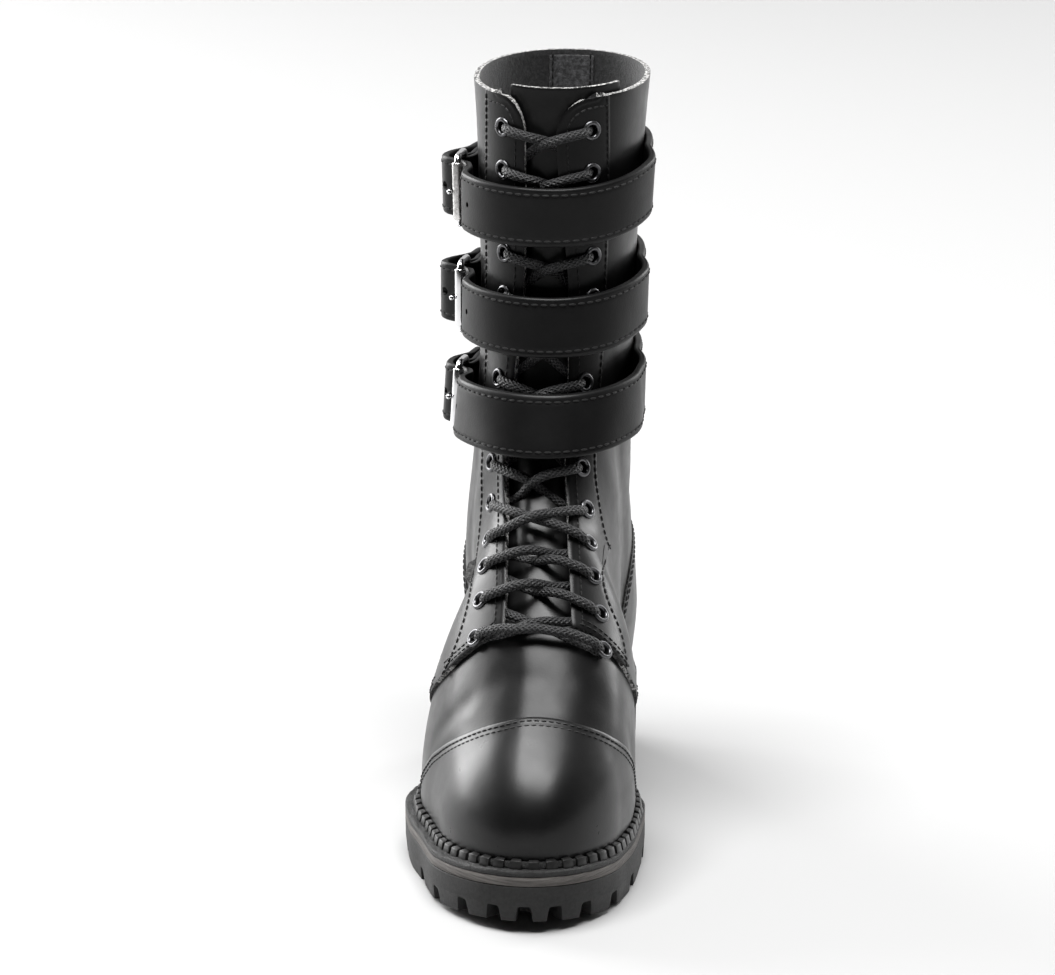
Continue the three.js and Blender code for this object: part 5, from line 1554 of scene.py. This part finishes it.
def buckle_prong(name, buckle):
    over = ROLLER / 2 + CLEARANCE + PRONG / 2
    length = buckle.length
    eye = (WIRE / 2 + CLEARANCE + PRONG * 0.35)
    stops = np.array([
        (0.4, eye * 0.9, 0), (length * 0.22, over * 0.62, 0), (length * 0.55, over * 0.86, 0),
        (length * 0.85, over * 0.99, 0), (length, over, 0), (length + ROLLER * 0.5, over * 0.93, 0),
        (length + ROLLER * 0.72, over * 0.8, 0),
    ])
    line = softened(resample(stops, 0.5), 2, 2)
    t = np.linspace(0, 1, len(line))
    radius = PRONG / 2 * (1.08 - 0.2 * t)
    radius = radius * np.sqrt(np.clip((1 - t) / 0.05, 0.05, 1))
    piece = cord(f"buckle_pin_{name}", buckle.place(line), radius, 16)
    inner = WIRE / 2 + CLEARANCE * 0.6
    outer = inner + PRONG * 0.7
    profile = [(inner, -1.9), (outer - 0.3, -1.9), (outer, -1.5),
               (outer, 1.5), (outer - 0.3, 1.9), (inner, 1.9)]
    ring = turned_round(f"buckle_eye_{name}", buckle, profile, (0, 0), 28)
    finish(ring, CHROME, [f"buckle_prong_{name}"], 40)
    return finish(piece, CHROME, [f"buckle_prong_{name}"], 60)


def chape(row, buckle):
    """Leather loop round the bar, with both ends sewn together on the shaft behind it."""
    name = row[0]
    half = CHAPE_WIDTH / 2
    thick = CHAPE_LEATHER
    back = np.linspace(-150, -98, 60)
    z = strap_height(row, back)
    under = shaft_point(back, z, 0.6 + thick / 2)
    upper_layer = shaft_point(back, z, 0.6 + thick * 1.5 + 0.05)
    ring = thick / 2 + WIRE / 2 + CLEARANCE
    turn = np.radians(np.linspace(-72, 112, 24))
    loop = np.stack([ring * np.cos(turn), ring * np.sin(turn), np.zeros(len(turn))], axis=-1)
    loop = buckle.place(loop)
    line = np.concatenate([under, loop, upper_layer[::-1]])
    line = softened(resample(line, 0.8), 2, 3)
    way = tangents(line)
    ups = unit(buckle.up - (way @ buckle.up)[:, None] * way)
    out = np.cross(way, ups)
    section = np.array([
        (-half, -0.3), (-half + 0.35, -0.5), (0, -0.5), (half - 0.35, -0.5), (half, -0.3), (half, 0.3),
        (half - 0.35, 0.5), (half - 2.4, 0.5), (half - 3, 0.42), (half - 3.6, 0.5), (0, 0.5),
        (-half + 3.6, 0.5), (-half + 3, 0.42), (-half + 2.4, 0.5), (-half + 0.35, 0.5), (-half, 0.3),
    ])
    points = line[:, None, :] + section[None, :, 0:1] * ups[:, None, :] \
        + section[None, :, 1:2] * thick * out[:, None, :]
    piece = closed_grid(f"chape_leather_{name}", points, caps=True)
    deselect()
    bpy.ops.mesh.primitive_cube_add(size=1)
    slot = bpy.context.active_object
    size = 0.001 * 2 * (WIRE / 2 + CLEARANCE + PRONG * 0.7 + 0.6)
    axes = Matrix([list(buckle.along), list(buckle.off), list(buckle.up)]).transposed().to_4x4()
    centre = Vector(metres(buckle.place(np.array([1.6, 0.8, 0]))))
    slot.matrix_world = Matrix.Translation(centre) @ axes @ Matrix.Diagonal((size, size, 0.0054, 1))
    bpy.context.view_layer.update()
    cut(piece, slot)
    piece.data.materials.clear()
    piece.data.materials.append(STRAP_LEATHER)
    shade(piece, 48)
    for rise in (-half + 3, half - 3):
        edge = shaft_point(back[:46], z[:46] + rise, 0.6 + thick * 2 + 0.05)
        outward = unit(edge - shaft_point(back[:46], z[:46] + rise, -3))
        strap_stitches.append((edge, outward))
    return finish(piece, None, [f"chape_{name}"])


for strap_row in STRAPS:
    place = Buckle(strap_row)
    strap(strap_row, place)
    chape(strap_row, place)
    buckle_frame(strap_row[0], place)
    buckle_roller(strap_row[0], place, strap_row[0] == "top")
    buckle_prong(strap_row[0], place)


# Stitches: one thread stitch, modelled once and copied along every sewn line.

def stitch_model(length, width):
    deselect()
    bpy.ops.mesh.primitive_cylinder_add(vertices=6, radius=width * 0.0005, depth=length * 0.001)
    piece = bpy.context.active_object
    activate(piece)
    bpy.ops.object.mode_set(mode="EDIT")
    bpy.ops.mesh.select_all(action="SELECT")
    bpy.ops.transform.rotate(value=math.pi / 2, orient_axis="Y", center_override=(0, 0, 0))
    bpy.ops.mesh.bisect(plane_co=(0.0002 * length, 0, 0), plane_no=(1, 0, 0))
    bpy.ops.mesh.select_all(action="SELECT")
    bpy.ops.mesh.bisect(plane_co=(-0.0002 * length, 0, 0), plane_no=(1, 0, 0))
    bpy.ops.object.mode_set(mode="OBJECT")
    for vertex in piece.data.vertices:
        t = min(abs(vertex.co.x) / (length * 0.0005), 1)
        vertex.co.z -= 0.00012 * width * 2 * t * t
        vertex.co.y *= 1 - 0.35 * t ** 3
    return piece


def place_stitches(name, lines, length, width, pitch, material):
    model = stitch_model(length, width)
    origins, ways, ups = [], [], []
    for line, normals in lines:
        both = resample(np.concatenate([line, normals], axis=1), 0.5)
        gaps = np.concatenate([[0], np.cumsum(np.linalg.norm(np.diff(both[:, :3], axis=0), axis=1))])
        want = np.arange(pitch / 2, gaps[-1], pitch)
        at = np.stack([np.interp(want, gaps, both[:, k]) for k in range(6)], axis=-1)
        way = tangents(both[:, :3])
        at_way = np.stack([np.interp(want, gaps, way[:, k]) for k in range(3)], axis=-1)
        origins.append(at[:, :3] + unit(at[:, 3:]) * width * 0.12)
        ways.append(at_way)
        ups.append(at[:, 3:])
    piece = joined_copies(name, model, np.concatenate(origins), np.concatenate(ways), np.concatenate(ups))
    bpy.data.objects.remove(model, do_unlink=True)
    return finish(piece, material, [])


place_stitches("upper_stitches", stitch_lines, 2.3, 0.85, 3.3, THREAD)
place_stitches("strap_stitches", strap_stitches, 3.2, 1.15, 4.4, THREAD)


# Sole. Each layer follows the outline of the last or the sole at its own height.

def slab(name, rings):
    """Closed body through rings of equal length, with strips across its ends."""
    rings = [np.asarray(ring, float) for ring in rings]
    count = len(rings[0])
    mesh = bpy.data.meshes.new(name)
    faces = []
    for r in range(len(rings) - 1):
        for i in range(count):
            j = (i + 1) % count
            faces.append((r * count + i, r * count + j, (r + 1) * count + j, (r + 1) * count + i))
    for base in (0, (len(rings) - 1) * count):
        for i in range(count // 2):
            a, b, c, d = i, i + 1, count - i - 1, (count - i) % count
            face = [base + k for k in dict.fromkeys((a, b, c, d))]
            if len(face) > 2:
                faces.append(tuple(face))
    mesh.from_pydata(metres(np.concatenate(rings)), [], faces)
    piece = bpy.data.objects.new(name, mesh)
    bpy.context.scene.collection.objects.link(piece)
    edit(piece, merge_doubles, face_outward)
    return piece


AROUND = 240
LOOP = np.arange(AROUND) / AROUND


def ring_at(height, out, turn=LOOP):
    x, s = outline(turn, out)
    return to_boot(np.stack([x, s, height(s)], axis=-1))


def box_between(name, points, depth_way, width):
    """Prism: a flat outline in boot millimetres, run along a way."""
    points = np.asarray(points, float)
    far = points + np.asarray(depth_way, float) * width
    count = len(points)
    faces = [tuple(range(count)), tuple(range(2 * count - 1, count - 1, -1))]
    for i in range(count):
        j = (i + 1) % count
        faces.append((i, i + count, j + count, j))
    mesh = bpy.data.meshes.new(name)
    mesh.from_pydata(metres(np.concatenate([points, far])), [], faces)
    piece = bpy.data.objects.new(name, mesh)
    bpy.context.scene.collection.objects.link(piece)
    edit(piece, face_outward)
    return piece


def wedge(turn, towards, depth, length):
    x, s = outline(np.array(turn), 1.0)
    start = np.array([float(x), SOLE_LENGTH / 2 - float(s), 0])
    inward = np.asarray(towards, float) - start
    inward[2] = 0
    inward = unit(inward)
    up = np.array([0, 0, 1.0])
    across = np.cross(up, inward)
    half = GROOVE_WIDTH / 2
    flat = [(-half - GROOVE_TAPER, -TOE_SPRING), (half + GROOVE_TAPER, -TOE_SPRING),
            (half - GROOVE_TAPER, depth - 0.8), (half - GROOVE_TAPER - 0.8, depth),
            (GROOVE_TAPER + 0.8 - half, depth), (GROOVE_TAPER - half, depth - 0.8)]
    origin = start - inward * TOE_SPRING
    points = [origin + a * across + b * up for a, b in flat]
    return box_between("groove", points, inward, length + TOE_SPRING)


def groove(turn):
    x, s = outline(np.array(turn), 1.0)
    x2, s2 = outline(np.array(turn + 0.004), 1.0)
    along = np.array([float(x2 - x), float(s - s2), 0])
    start = np.array([float(x), SOLE_LENGTH / 2 - float(s), 0])
    inward = unit(np.array([along[1], -along[0], 0])) * GROOVE_LENGTH
    return wedge(turn, start + inward, float(rise_at(float(s))) - BAND_THICKNESS, GROOVE_LENGTH)


def side_bar(outline_sz):
    points = [(-BALL_WIDTH, SOLE_LENGTH / 2 - s, z) for s, z in outline_sz]
    return box_between("side_bar", points, (1, 0, 0), 2 * BALL_WIDTH)


def outsole():
    def bottom(s):
        return rise_at(s) - BAND_THICKNESS

    def part(name, keep):
        piece = slab(name, [ring_at(spring_at, 0.875), ring_at(lambda s: spring_at(s) + 0.5, 0.885),
                            ring_at(lambda s: bottom(s) + 1, 0.98)])
        cut(piece, side_bar(keep), "INTERSECT")
        return piece

    low, high = -BAND_THICKNESS, HEEL_THICKNESS + BAND_THICKNESS
    heel = part("sole_heel", [(low, low), (HEEL_LENGTH - 4, low), (HEEL_LENGTH + 4, high), (low, high)])
    fore = part("sole_tread", [(TREAD_START + 4, low), (SOLE_LENGTH + 10, low), (SOLE_LENGTH + 10, high),
                               (TREAD_START - 4, high)])
    for turn in FOREFOOT_GROOVES:
        cut(fore, groove(turn))
        if turn > 0:
            cut(fore, groove(1 - turn))
    depth = FOREFOOT_THICKNESS - BAND_THICKNESS
    centre = np.array([0, SOLE_LENGTH / 2 - HEEL_LENGTH / 2, 0])
    for turn in HEEL_GROOVES:
        cut(heel, wedge(turn, centre, depth, GROOVE_LENGTH * 0.7))
        cut(heel, wedge(1 - turn, centre, depth, GROOVE_LENGTH * 0.7))
    cut(heel, wedge(0.5, centre, depth, GROOVE_LENGTH * 0.7))
    for share in CROSS_SLOTS:
        s = share * SOLE_LENGTH
        mid, half, _ = sole_plan(np.array(share))
        reach = max(float(half) - GROOVE_LENGTH * 1.25, 6)
        wide = GROOVE_WIDTH * 0.4
        tall = depth + float(spring_at(s))
        y = SOLE_LENGTH / 2 - s
        flat = [(float(mid) - reach, y - wide, -tall), (float(mid) + reach, y - wide, -tall),
                (float(mid) + reach, y + wide, -tall), (float(mid) - reach, y + wide, -tall)]
        cut(fore, box_between("slot", flat, (0, 0, 1), 2 * tall))
    band_piece = slab("sole_band", [
        ring_at(bottom, 0.9),
        ring_at(lambda s: bottom(s) + 0.5, 0.97),
        ring_at(lambda s: bottom(s) + 1.6, 0.99),
        ring_at(lambda s: rise_at(s) - 1.2, 1.0),
        ring_at(lambda s: rise_at(s) - 0.3, 0.995),
        ring_at(rise_at, 0.97),
    ])
    for piece in (heel, fore):
        apply(piece, "BEVEL", width=0.0005, segments=2, limit_method="ANGLE", angle_limit=math.radians(40))
        finish(piece, RUBBER, ["outsole"], 40)
    finish(band_piece, RUBBER, ["outsole"], 40)


def uneven(points, size, scale, seed):
    """Points moved a little up and down by smooth waves, for cut and crumbled edges."""
    state = np.random.RandomState(seed)
    shift = np.zeros(points.shape[:-1])
    for _ in range(7):
        way = state.normal(size=3)
        way = way / np.linalg.norm(way) * 2 * np.pi / (scale * state.uniform(0.6, 1.8))
        shift += np.sin(points @ way + state.uniform(0, 6.28))
    return shift * size / 7


def midsole():
    rings = []
    for drop, out in ((0, 0.98), (0.35, 1.0), (MIDSOLE_THICKNESS - 0.35, 1.0), (MIDSOLE_THICKNESS, 0.98)):
        ring = ring_at(lambda s, d=drop: rise_at(s) + CLEARANCE + d, out)
        rings.append(ring)
    piece = slab("midsole_board", rings)
    return finish(piece, BOARD, ["midsole"], 40)


def layer_at(s):
    edge = 4 * CLEARANCE
    over = np.where(s > SOLE_LENGTH * 0.64 - edge, CAP, 0.0)
    over = np.where(s < SOLE_LENGTH * 0.54 + edge, QUARTER, over)
    return np.where(s < SOLE_LENGTH * 0.34 + edge, QUARTER + COUNTER, over)


def foot_loop(turn, cast_height, distance, margin=None):
    """Loop round the last a little over the sole, stood off it by a distance."""
    here_x, here_s = outline(turn, 0.0)
    edge_x, edge_s = outline(turn, 1.0)
    before = np.stack(outline(turn - 0.004, 0.0), axis=-1)
    after = np.stack(outline(turn + 0.004, 0.0), axis=-1)
    gap = after - before
    way = unit(np.stack([gap[:, 1], -gap[:, 0], np.zeros(len(turn))], axis=-1))
    inside = np.stack([here_x, here_s, feather_at(here_s) + cast_height], axis=-1) - way * 6 * RIB_DEPTH
    wall = cast_out(inside, way)
    room = (edge_x - wall[:, 0]) * way[:, 0] + (edge_s - wall[:, 1]) * way[:, 1]
    reach = distance(wall[:, 1])
    if margin is not None:
        reach = np.minimum(reach, room - margin)
    return wall + way * reach[:, None], way, room


# Section of the welt's flat rim, as shares of its way out and of its height.
LEDGE_SECTION = [
    (0, 0), (0, 0.8), (0, 1), (0.12, 1), (0.24, 1), (0.36, 1), (0.48, 1), (0.6, 1),
    (0.72, 1), (0.84, 1), (0.93, 0.97), (0.985, 0.82), (1.0, 0.55), (1.0, 0.2), (0.98, 0),
]


def welt():
    turn = np.arange(480) / 480
    top = WELT_THICKNESS + RIB_HEIGHT
    wall, way, room = foot_loop(turn, top, lambda s: layer_at(s) + 0.2)
    edge_x, edge_s = outline(turn, 1.0)
    ledge = []
    for across, high in LEDGE_SECTION:
        x = mix(wall[:, 0], edge_x, across)
        s = mix(wall[:, 1], edge_s, across)
        z = feather_at(s) + WELT_THICKNESS * high
        ring = to_boot(np.stack([x, s, z], axis=-1))
        if high > 0.5 and across > 0:
            ring[:, 2] += uneven(ring, 1.0 if across < 0.95 else 0.4, 2.6, 5)
            ring[:, 2] = np.minimum(ring[:, 2], feather_at(s) + WELT_THICKNESS + 0.15)
        ledge.append(ring)
    ledge = np.array(ledge)
    piece = closed_grid("welt_ledge", ledge, loop_rows=True)
    finish(piece, LEDGE_RUBBER, ["welt"], 60)

    core = []
    for out, high in ((0.0, 0.2), (0.0, 1.0), (0.55, 1.0), (0.8, 0.82), (1.05, 0.2)):
        reach = RIB_DEPTH * 0.7 * out
        loop, _, _ = foot_loop(turn, top, lambda s, r=reach: layer_at(s) + 0.05 + r, CLEARANCE)
        z = feather_at(loop[:, 1]) + WELT_THICKNESS * 0.9 + RIB_HEIGHT * 0.78 * high
        core.append(to_boot(np.stack([loop[:, 0], loop[:, 1], z], axis=-1)))
    piece = closed_grid("welt_strip", np.array(core), loop_rows=True)
    finish(piece, LEDGE_RUBBER, ["welt"], 60)

    deselect()
    bpy.ops.mesh.primitive_cube_add(size=1)
    rib = bpy.context.active_object
    activate(rib)
    bpy.ops.object.mode_set(mode="EDIT")
    bpy.ops.mesh.select_all(action="SELECT")
    bpy.ops.transform.resize(value=(0.0056, 0.0034, RIB_HEIGHT * 0.001), center_override=(0, 0, 0))
    bpy.ops.transform.translate(value=(0, 0.0017, RIB_HEIGHT * 0.0005))
    bpy.ops.object.mode_set(mode="OBJECT")
    for vertex in rib.data.vertices:
        if vertex.co.y < 0.001:
            vertex.co.x *= 0.74
        elif vertex.co.z > 0.002:
            vertex.co.x *= 0.92
            vertex.co.y *= 0.72
            vertex.co.z -= 0.0006
    apply(rib, "BEVEL", width=0.00026, segments=2, limit_method="ANGLE", angle_limit=math.radians(30))
    wall, way, room = foot_loop(turn, top, lambda s: layer_at(s) + 0.15)
    loop = np.concatenate([wall, way, room[:, None], layer_at(wall[:, 1])[:, None]], axis=1)
    closed = np.concatenate([loop, loop[:1]])
    gaps = np.concatenate([[0], np.cumsum(np.linalg.norm(np.diff(closed[:, :3], axis=0), axis=1))])
    count = int(round(gaps[-1] / RIB_PITCH))
    want = (np.arange(count) + 0.5) * gaps[-1] / count
    at = np.stack([np.interp(want, gaps, closed[:, k]) for k in range(closed.shape[1])], axis=-1)
    origins = to_boot(np.stack([at[:, 0], at[:, 1], feather_at(at[:, 1]) + WELT_THICKNESS * 0.98], axis=-1))
    outward = turned(unit(at[:, 3:6]))
    spare = at[:, 6] - at[:, 7] - 0.2
    ups = np.tile([0, 0, 1.0], (count, 1))
    along = np.cross(outward, ups)
    # A rib is as deep as the ledge leaves room for.
    shape = np.empty(len(rib.data.vertices) * 3)
    rib.data.vertices.foreach_get("co", shape)
    shape = shape.reshape(-1, 3) * 1000
    faces = [tuple(face.vertices) for face in rib.data.polygons]
    depth = np.clip(spare / 3.5, 0.35, 1.0)
    tall = np.random.RandomState(8).uniform(0.94, 1.05, count)
    places = (shape[None, :, 0:1] * along[:, None, :]
              + shape[None, :, 1:2] * depth[:, None, None] * outward[:, None, :]
              + shape[None, :, 2:3] * tall[:, None, None] * ups[:, None, :]
              + origins[:, None, :])
    size = len(shape)
    mesh = bpy.data.meshes.new("welt_ribs")
    mesh.from_pydata(metres(places).reshape(-1, 3), [],
                     [tuple(i + n * size for i in face) for n in range(count) for face in faces])
    ribs = bpy.data.objects.new("welt_ribs", mesh)
    bpy.context.scene.collection.objects.link(ribs)
    edit(ribs, face_outward)
    finish(ribs, RIB_RUBBER, ["welt"], 30)
    bpy.data.objects.remove(rib, do_unlink=True)


def insole():
    rings = []
    for high in (0, INSOLE_THICKNESS):
        loop, _, _ = foot_loop(LOOP, 0.5, lambda s: -2 * VAMP + 0 * s)
        z = feather_at(loop[:, 1]) + high
        rings.append(to_boot(np.stack([loop[:, 0], loop[:, 1], z], axis=-1)))
    piece = slab("insole_board", rings)
    return finish(piece, INSOLE, ["insole"], 40)


outsole()
midsole()
welt()
insole()


# Camera, floor and light.

def look_at(item, place, target):
    way = Vector(target) - Vector(place)
    item.location = place
    item.rotation_euler = way.to_track_quat("-Z", "Y").to_euler()


def set_camera():
    azimuth, elevation, distance = math.radians(5.0), math.radians(15.5), 2.7
    target = Vector((SIDE_SHIFT * 0.001, 0, 0.17))
    back = Vector((math.sin(azimuth) * math.cos(elevation), -math.cos(azimuth) * math.cos(elevation),
                   math.sin(elevation)))
    data = bpy.data.cameras.new("camera")
    data.sensor_width = 36
    data.lens = 36 * 2.15 * 2700 / 1055
    data.shift_x = -14 / 1055
    data.shift_y = -9.5 / 1055
    camera = bpy.data.objects.new("camera", data)
    bpy.context.scene.collection.objects.link(camera)
    look_at(camera, target + back * distance, target)
    bpy.context.scene.camera = camera


def softbox(name, place, target, width, height, power):
    data = bpy.data.lights.new(name, "AREA")
    data.shape = "RECTANGLE"
    data.size = width
    data.size_y = height
    data.energy = power
    item = bpy.data.objects.new(name, data)
    bpy.context.scene.collection.objects.link(item)
    look_at(item, Vector(place), Vector(target))
    return item


def set_light():
    softbox("left_softbox", (-2.3, 1.7, 1.1), (0, 0, 0.15), 1.8, 1.8, 105)
    softbox("right_softbox", (2.4, 2.6, 1.2), (0, 0, 0.18), 0.8, 2.2, 55)
    softbox("top_softbox", (-0.2, -0.55, 3.6), (0, -0.05, 0.1), 2.8, 1.3, 235)
    world = bpy.data.worlds.new("studio")
    bpy.context.scene.world = world
    world.use_nodes = True
    tree = world.node_tree
    place = tree.nodes.new("ShaderNodeTexCoord")
    parts = tree.nodes.new("ShaderNodeSeparateXYZ")
    tree.links.new(place.outputs["Generated"], parts.inputs["Vector"])
    # The room is dark on the camera's side and white behind the boot.
    bright = spread(tree, parts.outputs["Y"], -0.5, 0.8, 0.02, 0.6)
    tree.links.new(bright, tree.nodes["Background"].inputs["Strength"])
    tree.nodes["Background"].inputs["Color"].default_value = (1, 1, 1, 1)


def set_floor():
    deselect()
    bpy.ops.mesh.primitive_plane_add(size=12)
    floor = bpy.context.active_object
    floor.name = "floor"
    material, tree, shader, place = new_material("pale floor")
    shader.inputs["Base Color"].default_value = (0.47, 0.47, 0.47, 1)
    shader.inputs["Roughness"].default_value = 0.7
    floor.data.materials.append(material)


set_camera()
set_light()
set_floor()
bpy.context.scene.view_settings.view_transform = "Standard"
